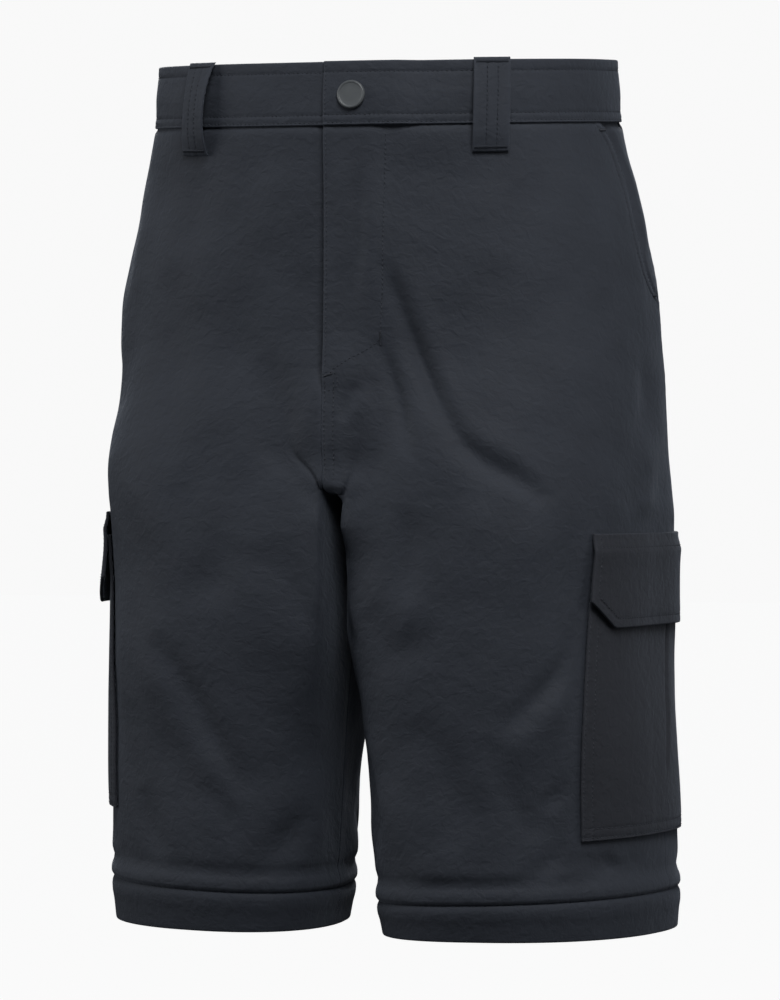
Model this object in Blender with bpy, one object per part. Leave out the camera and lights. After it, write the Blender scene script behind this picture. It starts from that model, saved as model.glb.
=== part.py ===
"""Convertible zip-off trousers in their short state, filled out as when they are worn.

The garment hangs from its waistband, hollow and open at the waist and at both hems. Each piece that is cut
and sewn on is one closed wall of cloth. Every piece is worked out from one form: a ring round the waist that
divides at the crotch into two leg rings, given by a short table of levels. The wearer faces -Y, the wearer's
left is +X, and the origin is the centre of the waistband, half way up.
"""

import bmesh
import bpy
import numpy as np

# Sizes are in millimetres and angles in degrees; MM turns them into Blender's metres
MM = 0.001

# Cloth walls and the clearances between pieces
SHELL_WALL = 1.6
BAND_WALL = 2.4
HEM_WALL = 2.0
TAPE_WALL = 1.2
FLAP_WALL = 2.2
LOOP_WALL = 1.8
SEAM_GAP = 0.3
LAYER_GAP = 0.6
POCKET_GAP = 1.1

# Levels: height over the middle of the waistband
BAND_TOP = 21.0
BAND_SEAM = -19.0
RISE_TOP = -165.0
CROTCH = -258.0
LEG_SEAM = -504.0
HEM_EDGE = -532.0

# The form, level by level. side and inner are the half's outer and inner reach from the centre plane, front
# and back its depth, skew the turn of the leg's front towards the centre in degrees, and seam how far the
# side seam lies behind the outermost point.
FORM_COLUMNS = ("level", "side", "inner", "front", "back", "skew", "seam")
FORM = np.array((
    (21, 150.5, 0.0, 101.0, 100.0, 0.0, 22),
    (-18, 153.0, 0.0, 103.5, 103.5, 0.0, 24),
    (-60, 162.5, 0.0, 102.0, 110.5, 0.0, 27),
    (-110, 172.5, 0.0, 102.0, 117.5, 1.5, 28),
    (-160, 178.0, 0.0, 103.5, 121.5, 5.0, 27),
    (-210, 180.0, 0.0, 108.5, 120.5, 9.0, 24),
    (-270, 179.5, 1.0, 113.0, 115.0, 13.0, 19),
    (-330, 176.5, 2.5, 113.0, 108.5, 14.0, 13),
    (-400, 179.5, 9.5, 110.0, 103.5, 14.5, 5),
    (-470, 185.0, 14.5, 105.0, 100.5, 16.0, -10),
    (-540, 186.5, 19.0, 98.5, 98.5, 17.5, -4),
))
TORSO_SQUARENESS = 2.3
WIDEST_BEHIND = 17.0
LEG_SQUARENESS = 2.2
THIGH_SQUARENESS = 0.5
THIGH_LEVEL = -290.0
THIGH_REACH = 110.0
# The legs' inner corners are squarer about the crotch, where the legs press against each other
CORNER_SQUARENESS = 1.0
CORNER_LEVEL = -262.0
CORNER_REACH = 45.0
CORNER_RISE = (0.0, 0.07)
CORNER_FALL = (0.12, 0.3)
RISE_POWER = 5.0
RISE_SOFT_POWER = 0.8
RISE_SOFT_FROM = 0.055
RISE_DELAY = 20.0
RISE_DELAY_FROM = 0.08
RISE_SETTLE = 8.0
RISE_STEPS = (0.03, 0.12, 0.26, 0.44)
LEG_TAKEOVER = (120.0, 290.0)
EDGE_REACH = 0.25
WAIST_TILT = 0.075
WAIST_ROLL = -0.012
WAIST_FADE = (20.0, 250.0)
HEM_TILT = 0.025
HEM_TILT_FADE = (300.0, 540.0)
LEG_CENTRE = 105.0
RIGHT_LIFT = 4.0
RIGHT_LIFT_FADE = (100.0, 300.0)

# Fly: the left front laps over the right one
FLY_LAP = 18.0
FLY_FLAT = 30.0
FLY_STITCH = 45.0
FLY_RAISE = SHELL_WALL + 0.5
FLY_END = -176.0
FLY_FADE = -194.0
LAP_TAPER = -130.0

# Waistband
BAND_PROUD = 0.5
BAND_LAP = 34.0
BAND_FLAT = 44.0
BAND_BLEND = 64.0
BAND_RAISE = BAND_WALL + 0.5
BAND_EDGE_DIP = 0.5
BAND_EDGE = 2.0

# Opening of the slash pocket. Columns: level, distance behind the outermost point
SLASH = np.array((
    (-19, -25), (-32, -14), (-45, -8), (-60, -6.5), (-75, -6.5), (-90, -6), (-104, -4), (-116, 1), (-126, 10),
    (-136, 28),
))
FACING_UNDER = 14.0
FACING_END = -150.0
FACING_GAP = 1.8
FACING_SET_BACK = 0.2
FACING_RISE = (4.0, 16.0)
FACING_DEEP = (90.0, 110.0)

# Cargo pockets, centred on the side seam
POCKET_FRONT = -101.5
POCKET_BACK = 101.5
POCKET_TOP = -296.0
POCKET_FOOT = -473.0
POCKET_PUFF = 2.5
PLEAT_DEPTH = 1.6
PLEAT_HALF = 3.0
PLEAT_FOOT = -440.0
PLEAT_FADE = 20.0
POCKET_STEPS = (1.0, 0.93, 0.8, 0.65, 0.5, 0.35, 0.2, 0.1)
POCKET_FLAP_TOP = -281.0
POCKET_FLAP_FOOT = -340.0
POCKET_FLAP_OVERLAP = 3.0
POCKET_FLAP_STAND = {1: 2.4, -1: 4.4}
CHAMFER_WIDTH = 23.0
CHAMFER_HEIGHT = 17.0
FLAP_STEPS = (0.0, 0.1, 0.22, 0.42, 0.62, 0.82, 1.0)
MOUTH_RISE = (2.0, 12.0)
RIGHT_POCKET_LIFT = 9.0

# Belt loops. Columns of LOOPS: node, half, what the distance starts from, distance, twist
LOOP_WIDTH = 23.0
LOOP_TOP = 22.0
LOOP_FOOT = -37.0
LOOP_BOW = 2.8
LOOP_BOW_POWER = 0.7
LOOP_SEAT = 0.4
LOOP_STEP = 4.0
LOOP_ROWS = 9
LOOP_ACROSS = 5
LOOPS = (
    ("belt_loop_front_left", 1, "front", 105.5, 0.8),
    ("belt_loop_front_right", -1, "front", 90.0, 5.0),
    ("belt_loop_back_left", 1, "back", 96.0, 1.0),
    ("belt_loop_back_right", -1, "back", 94.0, 1.5),
    ("belt_loop_back_centre", 1, "back", 0.0, 0.0),
)

# Hem: a lip of leg cloth over the seam, and the flap that hides the zip
LIP_PROUD = 1.1
LIP_TOP = -491.0
LIP_ROUND = 3.0
LIP_STEP = 6.0
# Columns of the profiles: level, height over the form
HEM_PROFILE = ((-504.15, -0.4), (-508.0, 0.5), (-520.0, 0.7), (-530.0, 0.6), (-532.0, 0.1))
TAPE_PROFILE = ((-507.0, -3.0), (-513.0, -2.1), (-520.0, -2.1))
HEM_DROP = {1: 0.0, -1: 3.0}
HEM_OUTER_DROP = 5.0
TAPE_END_GAP = 5.0

# Snap button. Columns of SNAP_PROFILE: radius, height
SNAP_AT = 19.0
SNAP_LEVEL = -0.5
SNAP_PROFILE = ((8.8, 0.0), (9.0, 0.5), (9.0, 1.6), (8.6, 2.3), (7.9, 2.6), (7.3, 2.35), (0.0, 2.45))
SNAP_SIDES = 36

# The largest folds, as soft troughs (depth over 0) and ridges (under 0) along straight lines on the cloth:
# how far both ends lie behind the outermost point, their levels, half width and depth.
# Columns: half, start behind, start level, end behind, end level, half width, depth
FOLDS = np.array((
    (1, -200, -104, -186, -166, 9, 2.4),
    (1, -186, -160, -179, -226, 10, 2.8),
    (1, -180, -226, -138, -261, 11, 2.4),
    (1, -168, -120, -150, -205, 13, -1.4),
    (1, -209, -157, -212, -236, 10, 2.0),
    (1, -85, -262, -40, -210, 13, 1.8),
    (1, -215, -330, -225, -430, 22, 1.6),
    (1, -108, -345, -156, -404, 13, 2.4),
    (1, -230, -300, -160, -360, 18, -1.4),
    (1, -120, -440, -190, -485, 15, 1.5),
    (-1, -211, -172, -226, -236, 14, 2.2),
    (-1, -140, -180, -190, -300, 26, -1.6),
    (-1, -162, -350, -200, -430, 15, 2.4),
    (-1, -240, -320, -200, -420, 20, 1.6),
    (-1, -160, -430, -240, -490, 16, 1.6),
    (1, 225, -236, 150, -286, 16, 2.6),
    (1, 245, -262, 170, -350, 16, 2.2),
    (1, 225, -400, 150, -470, 18, 1.6),
    (-1, 230, -232, 155, -290, 16, 2.4),
    (-1, 250, -266, 175, -340, 15, 2.4),
    (-1, 190, -380, 225, -460, 18, 1.8),
))

FOLD_ENDS = (-0.25, 0.35)
FOLD_OFF_POCKET = (6.0, 34.0)
FOLD_UNDER_BAND = (60.0, 120.0)
FOLD_OVER_HEM = 25.0

# Grids
PANEL_COLUMNS = 16
COLUMN_CROWDING = 1.2
FACING_COLUMNS = 5
TORSO_LEVELS = 9
LEG_LEVELS = 12
HALF_COLUMNS = 28
HEM_COLUMNS = 36
POCKET_LEVELS = 12
FLAP_COLUMNS = 17
GIRTH_SAMPLES = 361
PATH_STEP = 0.003
LEVEL_STEP = 1.5

CLOTH_COLOUR = "33373f"
POCKET_COLOUR = "2e3036"
HEM_COLOUR = "2a2e36"
TAPE_COLOUR = "24272d"
SNAP_COLOUR = "53575a"


def smooth(value, low, high):
    """Soft step: 0 at low, 1 at high, level at both ends."""
    t = np.clip((np.asarray(value, float) - low) / (high - low), 0.0, 1.0)
    return t * t * (3.0 - 2.0 * t)


def curve_through(table, column, level):
    """Smooth curve through one column of a table whose first column falls."""
    levels, values = table[:, 0], table[:, column]
    slopes = np.gradient(values, levels)
    slopes[1:-1] = (values[2:] - values[:-2]) / (levels[2:] - levels[:-2])
    level = np.asarray(level, float)
    i = np.clip(np.searchsorted(-levels, -level, side="right") - 1, 0, len(levels) - 2)
    span = levels[i + 1] - levels[i]
    t = np.clip((level - levels[i]) / span, -0.3, 1.3)
    start = (2 * t**3 - 3 * t**2 + 1) * values[i] + (t**3 - 2 * t**2 + t) * span * slopes[i]
    end = (3 * t**2 - 2 * t**3) * values[i + 1] + (t**3 - t**2) * span * slopes[i + 1]
    return start + end


def column(name, level):
    return curve_through(FORM, FORM_COLUMNS.index(name), level)


def near_waist(level):
    """1 at the waistband, fading out down the hips."""
    return 1.0 - smooth(-np.asarray(level, float), *WAIST_FADE)


def signed_power(value, power):
    return np.sign(value) * np.abs(value) ** power


def ring(path, level):
    """Point of the left half: path runs 0 to 1 from the front inner edge round the side to the back one.

    The torso half ring and the leg ring are both superellipses. The leg takes over from the torso first at
    the inner edges, which draws the curve of the rise, and more softly all round.
    """
    side, front, back = (column(name, level) for name in ("side", "front", "back"))
    inner = np.maximum(column("inner", level), 0.0)
    skew = np.radians(column("skew", level))
    thigh = np.exp(-(((level - THIGH_LEVEL) / THIGH_REACH) ** 2))
    from_edge = np.minimum(path, 1.0 - path)
    corner = smooth(from_edge, *CORNER_RISE) * (1.0 - smooth(from_edge, *CORNER_FALL))
    corner = corner * np.exp(-(((level - CORNER_LEVEL) / CORNER_REACH) ** 2))
    leg_power = 2.0 / (LEG_SQUARENESS + THIGH_SQUARENESS * thigh + CORNER_SQUARENESS * corner)
    turn = np.pi * (1.0 + 2.0 * path)
    leg_x = (side + inner) / 2 + (side - inner) / 2 * signed_power(np.cos(turn), leg_power)
    leg_y = (back - front) / 2 + (back + front) / 2 * signed_power(np.sin(turn + skew), leg_power)

    torso_power = 2.0 / TORSO_SQUARENESS
    around = np.radians(np.interp(path, (0, 0.25, 0.5, 0.75, 1), (0, 30, 90, 150, 180)))
    torso_x = side * signed_power(np.sin(around), torso_power)
    depth = np.where(path < 0.5, front + WIDEST_BEHIND, back - WIDEST_BEHIND)
    torso_y = WIDEST_BEHIND - depth * signed_power(np.cos(around), torso_power)

    later = RISE_DELAY * smooth(from_edge, 0.0, RISE_DELAY_FROM)
    fall = np.clip((RISE_TOP - level) / (RISE_TOP - CROTCH + later), 0.0, 1.0)
    power = RISE_POWER + (RISE_SOFT_POWER - RISE_POWER) * smooth(from_edge, 0.0, RISE_SOFT_FROM)
    share_at_edge = 1.0 - (1.0 - fall**RISE_POWER) ** (1.0 / power)
    share_at_side = smooth(-np.asarray(level), *LEG_TAKEOVER)
    mix = smooth(from_edge, 0.0, EDGE_REACH)
    leg_share = share_at_edge * (1.0 - mix) + share_at_side * mix
    x = torso_x + leg_share * (leg_x - torso_x)
    y = torso_y + leg_share * (leg_y - torso_y)
    waist_tilt = WAIST_TILT * y * near_waist(level)
    hem_tilt = HEM_TILT * (x - LEG_CENTRE) * smooth(-np.asarray(level), *HEM_TILT_FADE)
    return np.stack(np.broadcast_arrays(x, y, level + waist_tilt + hem_tilt), axis=-1)


def form(path, level):
    """ring, carried on past its inner edges: round the leg below the crotch, into the other half above."""
    path, level = np.broadcast_arrays(np.asarray(path, float), np.asarray(level, float))
    outside = (path < 0.0) | (path > 1.0)
    torso = level > CROTCH
    folded = np.where(path < 0.0, -path, np.where(path > 1.0, 2.0 - path, path))
    wrapped = np.where(outside, path - np.floor(path), path)
    points = ring(np.where(torso, folded, wrapped), level)
    points[..., 0] *= np.where(outside & torso, -1.0, 1.0)
    return points


def outward(path, level):
    """Unit normal of the form."""
    along = form(path + PATH_STEP, level) - form(path - PATH_STEP, level)
    up = form(path, level + LEVEL_STEP) - form(path, level - LEVEL_STEP)
    normal = np.cross(along, up)
    return normal / np.linalg.norm(normal, axis=-1, keepdims=True)


def girths(level):
    """Distances behind the outermost point, negative to the front of it, at GIRTH_SAMPLES places of path."""
    path = np.linspace(0.0, 1.0, GIRTH_SAMPLES)
    points = ring(path[None, :], np.asarray(level, float).reshape(-1, 1))
    steps = np.linalg.norm(np.diff(points[..., :2], axis=1), axis=-1)
    lengths = np.concatenate([np.zeros((len(points), 1)), np.cumsum(steps, axis=1)], axis=1)
    return path, lengths - lengths[:, [GIRTH_SAMPLES // 2]]


def path_at(level, behind):
    """Path at a distance behind the outermost point."""
    level, behind = np.broadcast_arrays(np.asarray(level, float), np.asarray(behind, float))
    path, lengths = girths(level)
    found = [np.interp(b, row, path) for b, row in zip(behind.ravel(), lengths)]
    return np.array(found).reshape(level.shape)


def behind_at(level, path):
    """Distance behind the outermost point at a path."""
    level, path = np.broadcast_arrays(np.asarray(level, float), np.asarray(path, float))
    samples, lengths = girths(level)
    found = [np.interp(p, samples, row) for p, row in zip(path.ravel(), lengths)]
    return np.array(found).reshape(level.shape)


def fold_height(side, behind, level):
    """Height of the folds: each is a soft bell across its line that dies away towards both ends."""
    height = np.zeros(behind.shape)
    for fold_side, from_start, level_start, from_end, level_end, width, depth in FOLDS:
        run = np.array((from_end - from_start, level_end - level_start))
        reach = np.hypot(*run)
        along = ((behind - from_start) * run[0] + (level - level_start) * run[1]) / reach
        across = ((behind - from_start) * run[1] - (level - level_start) * run[0]) / reach
        start, full = (reach * share for share in FOLD_ENDS)
        ends = smooth(along, start, full) * smooth(reach - along, start, full)
        height -= np.where(side == fold_side, depth * ends * np.exp(-((across / width) ** 2)), 0.0)
    beside = np.maximum(POCKET_FRONT - behind, behind - POCKET_BACK)
    above = np.maximum(level - POCKET_FLAP_TOP, POCKET_FOOT - level)
    off_pocket = smooth(np.maximum(beside, above), *FOLD_OFF_POCKET)
    off_band, off_hem = smooth(-level, *FOLD_UNDER_BAND), smooth(level, LIP_TOP, LIP_TOP + FOLD_OVER_HEM)
    return height * off_pocket * off_band * off_hem


def place(level, path, out, side=1):
    """Points of the cloth, in millimetres, out over its outer face.

    side 1 is the wearer's left half and -1 the right. A path under 0 crosses to the other half.
    """
    level, path, out, side = np.broadcast_arrays(*(np.asarray(v, float) for v in (level, path, out, side)))
    crossed = path < 0.0
    path = np.abs(path)
    height = out + fold_height(side, behind_at(level, path), level)
    points = form(path, level) + outward(path, level) * height[..., None]
    points[..., 0] *= np.where(crossed, -side, side)
    points[..., 2] += WAIST_ROLL * points[..., 0] * near_waist(level)
    points[..., 2] += np.where(side < 0, RIGHT_LIFT * smooth(-level, *RIGHT_LIFT_FADE), 0.0)
    return points


def linear(hex_colour):
    """sRGB hex to Blender's linear colour."""
    srgb = np.array([int(hex_colour[i:i + 2], 16) for i in (0, 2, 4)]) / 255.0
    values = np.where(srgb <= 0.04045, srgb / 12.92, ((srgb + 0.055) / 1.055) ** 2.4)
    return (*(float(v) for v in values), 1.0)


def material(name, hex_colour, roughness):
    made = bpy.data.materials.new(name)
    made.use_nodes = True
    shader = made.node_tree.nodes["Principled BSDF"]
    shader.inputs["Base Color"].default_value = linear(hex_colour)
    shader.inputs["Roughness"].default_value = roughness
    shader.inputs["Metallic"].default_value = 0.0
    made.diffuse_color = linear(hex_colour)
    return made


def solid(name, points, faces, hex_colour, roughness):
    """Object of one closed body from points in millimetres."""
    mesh = bpy.data.meshes.new(name)
    mesh.from_pydata((points * MM).tolist(), [], [list(map(int, face)) for face in faces])
    work = bmesh.new()
    work.from_mesh(mesh)
    bmesh.ops.recalc_face_normals(work, faces=work.faces)
    work.to_mesh(mesh)
    work.free()
    mesh.shade_smooth()
    mesh.set_sharp_from_angle(angle=np.radians(40.0))
    mesh.materials.append(material(name + "_finish", hex_colour, roughness))
    piece = bpy.data.objects.new(name, mesh)
    bpy.context.scene.collection.objects.link(piece)
    return piece


def cells(grid):
    return np.stack([grid[:-1, :-1], grid[:-1, 1:], grid[1:, 1:], grid[1:, :-1]], axis=-1).reshape(-1, 4)


def wall(name, outer, inner, hex_colour, roughness=0.8, closed=False):
    """Wall of cloth between two grids of points; closed joins the last column to the first."""
    rows, columns = outer.shape[:2]
    index = np.arange(rows * columns).reshape(rows, columns)
    if closed:
        index = np.concatenate([index, index[:, :1]], axis=1)
    behind = index + rows * columns
    rims = [(index[0], behind[0]), (index[-1], behind[-1])]
    if not closed:
        rims += [(index[:, 0], behind[:, 0]), (index[:, -1], behind[:, -1])]
    faces = [cells(index), cells(behind)] + [cells(np.stack(rim)) for rim in rims]
    points = np.concatenate([outer.reshape(-1, 3), inner.reshape(-1, 3)])
    return solid(name, points, np.concatenate(faces), hex_colour, roughness)


def panel_levels():
    """Levels of a panel: even on the torso, closer where the rise turns under, and a lip at the foot."""
    torso = np.linspace(BAND_SEAM - SEAM_GAP, RISE_TOP, TORSO_LEVELS)
    share = np.array(RISE_STEPS)
    rise = RISE_TOP - (RISE_TOP - CROTCH) * (1.0 - (1.0 - share) ** RISE_POWER) ** (1.0 / RISE_POWER)
    between = (RISE_TOP + rise[0]) / 2
    settling = CROTCH - RISE_SETTLE * np.arange(2)
    leg = np.linspace(CROTCH - 2 * RISE_SETTLE, LIP_TOP, LEG_LEVELS)
    foot = LEG_SEAM + SEAM_GAP / 2
    lip = np.array((LIP_TOP - LIP_STEP, foot + LIP_ROUND, foot))
    return np.concatenate([torso, [between], rise, settling, leg, lip])


def lip_height(level):
    """The leg cloth rounds out over the hem seam and is drawn in at the seam itself."""
    rise = smooth(LIP_TOP - level, -LIP_ROUND, LIP_STEP)
    return LIP_PROUD * rise * smooth(level, LEG_SEAM, LEG_SEAM + LIP_ROUND)


def side_seam(level):
    """Distance of the side seam behind the outermost point."""
    return column("seam", level)


def slash_edge(level):
    """Distance of the slash pocket's edge behind the outermost point; under the pocket, of the side seam."""
    return np.minimum(np.interp(-level, -SLASH[:, 0], SLASH[:, 1], right=1e3), side_seam(level))


def centre_edges(level):
    """Paths half a seam gap from the centre front and the centre back, or from the inner seam of the leg."""
    ends = girths(level)[1][:, [0, -1]] + np.array((SEAM_GAP / 2, -SEAM_GAP / 2))
    return path_at(level, ends[:, 0]), path_at(level, ends[:, 1])


def fly_height(side, path, level):
    """The left front rises over the lap of the right front and comes down at the fly stitching."""
    from_front = behind_at(level, path) - behind_at(level, 0.0)
    across = 1.0 - smooth(from_front, FLY_FLAT, FLY_STITCH)
    down = 1.0 - smooth(-level, -FLY_END, -FLY_FADE)
    return FLY_RAISE * across * down if side > 0 else np.zeros(path.shape)


def panel(name, side, level, path, out):
    """Wall of shell cloth whose inner edges stay on their own side of the centre plane."""
    grids = [place(level, path, out - depth, side) for depth in (0.0, SHELL_WALL)]
    for grid in grids:
        own = side * grid[..., 0]
        grid[..., 0] = side * np.where(path < 0.0, own, np.maximum(own, SEAM_GAP / 2))
    wall(name, *grids, CLOTH_COLOUR)


def front_panel(name, side):
    level = panel_levels()
    first = centre_edges(level)[0]
    if side < 0:
        lap = FLY_LAP * (1.0 - smooth(-level, -LAP_TAPER, -RISE_TOP))
        lap_path = path_at(level, behind_at(level, 0.0) + lap)
        first = np.where(level > RISE_TOP, -lap_path, first)
    last = path_at(level, slash_edge(level) - SEAM_GAP / 2)
    share = np.linspace(0.0, 1.0, PANEL_COLUMNS + 1) ** COLUMN_CROWDING
    path = first[:, None] + (last - first)[:, None] * share
    level = np.broadcast_to(level[:, None], path.shape)
    panel(name, side, level, path, lip_height(level) + fly_height(side, path, level))


def back_panel(name, side):
    level = panel_levels()
    first = path_at(level, side_seam(level) + SEAM_GAP / 2)
    last = centre_edges(level)[1]
    share = np.linspace(1.0, 0.0, PANEL_COLUMNS + 1) ** COLUMN_CROWDING
    path = last[:, None] + (first - last)[:, None] * share
    level = np.broadcast_to(level[:, None], path.shape)
    panel(name, side, level, path, lip_height(level))


def pocket_facing(name, side):
    """Cloth behind the slash opening: under the front panel at its edge, level with it at the side seam."""
    level = panel_levels()
    level = level[level > FACING_END]
    last = side_seam(level) - SEAM_GAP
    first = np.minimum(slash_edge(level), last) - FACING_UNDER
    behind = first[:, None] + (last - first)[:, None] * np.linspace(0.0, 1.0, FACING_COLUMNS + 1)
    past_edge = behind - slash_edge(level)[:, None]
    level = np.broadcast_to(level[:, None], behind.shape)
    under = np.maximum(1.0 - smooth(past_edge, *FACING_RISE), smooth(-level, *FACING_DEEP))
    out = -(SHELL_WALL + FACING_GAP) * under - FACING_SET_BACK
    grids = [place(level, path_at(level, behind), out - depth, side) for depth in (0.0, SHELL_WALL)]
    wall(name, *grids, POCKET_COLOUR)


def from_centre(level, distance, start):
    """Path and half (1 its own, -1 the other) of a distance from the centre front or the centre back."""
    if start == "front":
        behind = behind_at(level, 0.0) + distance
    else:
        behind = behind_at(level, 1.0) - np.abs(distance)
    path = path_at(*np.broadcast_arrays(level, behind))
    return path, np.where(np.broadcast_to(distance, path.shape) < 0.0, -1.0, 1.0)


def waistband(name):
    """One strip: from the left end at the centre front round the body, and on under its own beginning."""
    level = np.array((BAND_TOP, BAND_TOP - BAND_EDGE, 0.0, BAND_SEAM))[:, None]
    half = behind_at(0.0, 1.0) - behind_at(0.0, 0.0)
    share = np.linspace(0.0, 1.0, HALF_COLUMNS + 1)
    share = np.concatenate([share, share[::-1][1:], np.array((0.5, 1.0)) * BAND_LAP / half])
    right = np.zeros(len(share))
    right[HALF_COLUMNS + 1:2 * HALF_COLUMNS + 1] = 1.0
    first_end = np.arange(len(share)) < HALF_COLUMNS
    raised = np.where(first_end, 1.0 - smooth(share * half, BAND_FLAT, BAND_BLEND), 0.0)
    out = BAND_PROUD + BAND_RAISE * raised + np.array((-BAND_EDGE_DIP, 0.0, 0.0, 0.0))[:, None]
    front, back = behind_at(level, 0.0), behind_at(level, 1.0)
    path = path_at(level, front + (back - front) * share)
    grids = [place(level, path, out - depth, 1.0 - 2.0 * right) for depth in (0.0, BAND_WALL)]
    for grid in grids:
        grid[:, HALF_COLUMNS, 0] = 0.0
    wall(name, *grids, CLOTH_COLOUR)


def belt_loop(name, side, start, distance, twist):
    """Strip sewn down at the band's top and under its foot, bowed out between them.

    twist is how much further its edge nearest the centre stands off half way down.
    """
    level = np.linspace(LOOP_TOP, LOOP_FOOT, LOOP_ROWS)[:, None]
    across = distance + np.linspace(-LOOP_WIDTH / 2, LOOP_WIDTH / 2, LOOP_ACROSS)[None, :]
    share = (LOOP_TOP - level) / (LOOP_TOP - LOOP_FOOT)
    seat = LOOP_SEAT + (BAND_PROUD + LAYER_GAP - LOOP_SEAT) * smooth(level, LOOP_FOOT, BAND_SEAM - LOOP_STEP)
    bow = np.sin(np.pi * share) ** LOOP_BOW_POWER
    turned = twist * bow * (distance + LOOP_WIDTH / 2 - across) / LOOP_WIDTH
    out = seat + LOOP_BOW * bow + turned + LOOP_WALL
    path, half = from_centre(level, across, start)
    grids = [place(level, path, out - depth, side * half) for depth in (0.0, LOOP_WALL)]
    wall(name, *grids, CLOTH_COLOUR)


def cloth_wall(name, side, level, behind, out, thickness):
    """Wall of a cargo pocket piece, behind being the distance from the leg's outermost point."""
    raised = level + (RIGHT_POCKET_LIFT if side < 0 else 0.0)
    path = path_at(raised, behind)
    grids = [place(raised, path, out - depth, side) for depth in (0.0, thickness)]
    wall(name, *grids, POCKET_COLOUR)


def swell(level):
    """The pocket lies flat at its mouth and has swollen by the foot of its flap."""
    return smooth(-level, -POCKET_TOP, -POCKET_FLAP_FOOT)


def cargo_pocket(name, side):
    """Patch that lies on the leg at its edges and puffs out between them, with a pleat down its middle."""
    steps = np.array(POCKET_STEPS)
    pleat = 2.0 * PLEAT_HALF / (POCKET_BACK - POCKET_FRONT)
    across = np.concatenate([-steps, [-pleat, 0.0, pleat], steps[::-1]])[None, :]
    level = np.linspace(POCKET_TOP, POCKET_FOOT, POCKET_LEVELS)[:, None]
    middle = side_seam(level)
    behind = middle + np.abs(across) * (np.where(across < 0.0, POCKET_FRONT, POCKET_BACK) - middle)
    share = (POCKET_TOP - level) / (POCKET_TOP - POCKET_FOOT)
    puff = POCKET_PUFF * (1.0 - np.abs(across) ** 3) * (1.0 - share**4) * swell(level)
    pleated = swell(level) * smooth(level, PLEAT_FOOT, PLEAT_FOOT + PLEAT_FADE)
    groove = PLEAT_DEPTH * np.exp(-((across / pleat) ** 2)) * pleated
    out = POCKET_GAP + SHELL_WALL + puff - groove
    cloth_wall(name, side, level, behind, out, SHELL_WALL)


def cargo_flap(name, side):
    """Flap sewn along its top over the pocket's mouth, with clipped lower corners that stand off."""
    front, back = POCKET_FRONT - POCKET_FLAP_OVERLAP, POCKET_BACK + POCKET_FLAP_OVERLAP
    inside = np.linspace(front + CHAMFER_WIDTH, back - CHAMFER_WIDTH, FLAP_COLUMNS)
    across = np.concatenate([[front, front + CHAMFER_WIDTH / 2], inside, [back - CHAMFER_WIDTH / 2, back]])
    from_end = np.minimum(across - front, back - across)
    clipped = CHAMFER_HEIGHT * np.clip(1.0 - from_end / CHAMFER_WIDTH, 0.0, 1.0)
    share = np.array(FLAP_STEPS)[:, None]
    level = POCKET_FLAP_TOP + share * (POCKET_FLAP_FOOT + clipped - POCKET_FLAP_TOP)
    over_mouth = (SHELL_WALL + POCKET_GAP) * smooth(POCKET_FLAP_TOP - level, *MOUTH_RISE)
    out = LAYER_GAP + FLAP_WALL + over_mouth + POCKET_FLAP_STAND[side] * swell(level)
    cloth_wall(name, side, level, across[None, :], out, FLAP_WALL)


def leg_tube(name, side, levels, heights, thickness, hex_colour, end_gap=0.0):
    """Band of cloth round a leg, lower on the outside; with an end gap it opens at the inner seam."""
    level = np.array(levels)[:, None]
    count = HEM_COLUMNS if end_gap == 0.0 else HEM_COLUMNS + 1
    share = np.linspace(0.0, 1.0, count, endpoint=end_gap > 0.0)[None, :]
    front, back = behind_at(level, 0.0) + end_gap / 2, behind_at(level, 1.0) - end_gap / 2
    path = path_at(level, front + (back - front) * share)
    out = np.array(heights)[:, None]
    drop = HEM_DROP[side] + HEM_OUTER_DROP * np.sin(np.pi * path) ** 2
    dropped = level - drop * smooth(-level, -LEG_SEAM, -HEM_EDGE)
    grids = [place(dropped, path, out - depth, side) for depth in (0.0, thickness)]
    wall(name, *grids, hex_colour, closed=end_gap == 0.0)


def hem_flap(name, side):
    """Folded band that hangs from the leg seam and hides the zip."""
    levels, heights = zip(*HEM_PROFILE)
    leg_tube(name, side, levels, heights, HEM_WALL, HEM_COLOUR)


def zip_tape(name, side):
    """Tape of the zip half that stays on the shorts, behind the hem flap."""
    levels, heights = zip(*TAPE_PROFILE)
    leg_tube(name, side, levels, heights, TAPE_WALL, TAPE_COLOUR, TAPE_END_GAP)


def snap_button(name):
    """Turned disc with a rolled rim, its back just clear of the waistband's upper end."""
    level = np.array([SNAP_LEVEL])
    path = from_centre(level, np.array([SNAP_AT]), "front")[0]
    seat = BAND_PROUD + BAND_RAISE + SEAM_GAP
    centre, above = place(level, path, seat)[0], place(level, path, seat + 1.0)[0]
    axis = above - centre
    first = np.cross(axis, (0.0, 0.0, 1.0))
    first /= np.linalg.norm(first)
    second = np.cross(axis, first)
    turn = np.linspace(0.0, 2 * np.pi, SNAP_SIDES, endpoint=False)[:, None]
    spokes = np.cos(turn) * first + np.sin(turn) * second
    rings = [centre + radius * spokes + height * axis for radius, height in SNAP_PROFILE[:-1]]
    poles = [centre, centre + SNAP_PROFILE[-1][1] * axis]
    index = np.arange(len(rings) * SNAP_SIDES).reshape(len(rings), SNAP_SIDES)
    index = np.concatenate([index, index[:, :1]], axis=1)
    under, over = len(rings) * SNAP_SIDES, len(rings) * SNAP_SIDES + 1
    faces = [tuple(face) for face in cells(index)]
    faces += [(under, a, b) for a, b in zip(index[0, :-1], index[0, 1:])]
    faces += [(over, a, b) for a, b in zip(index[-1, :-1], index[-1, 1:])]
    solid(name, np.concatenate([*rings, poles]), faces, SNAP_COLOUR, 0.45)


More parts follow.
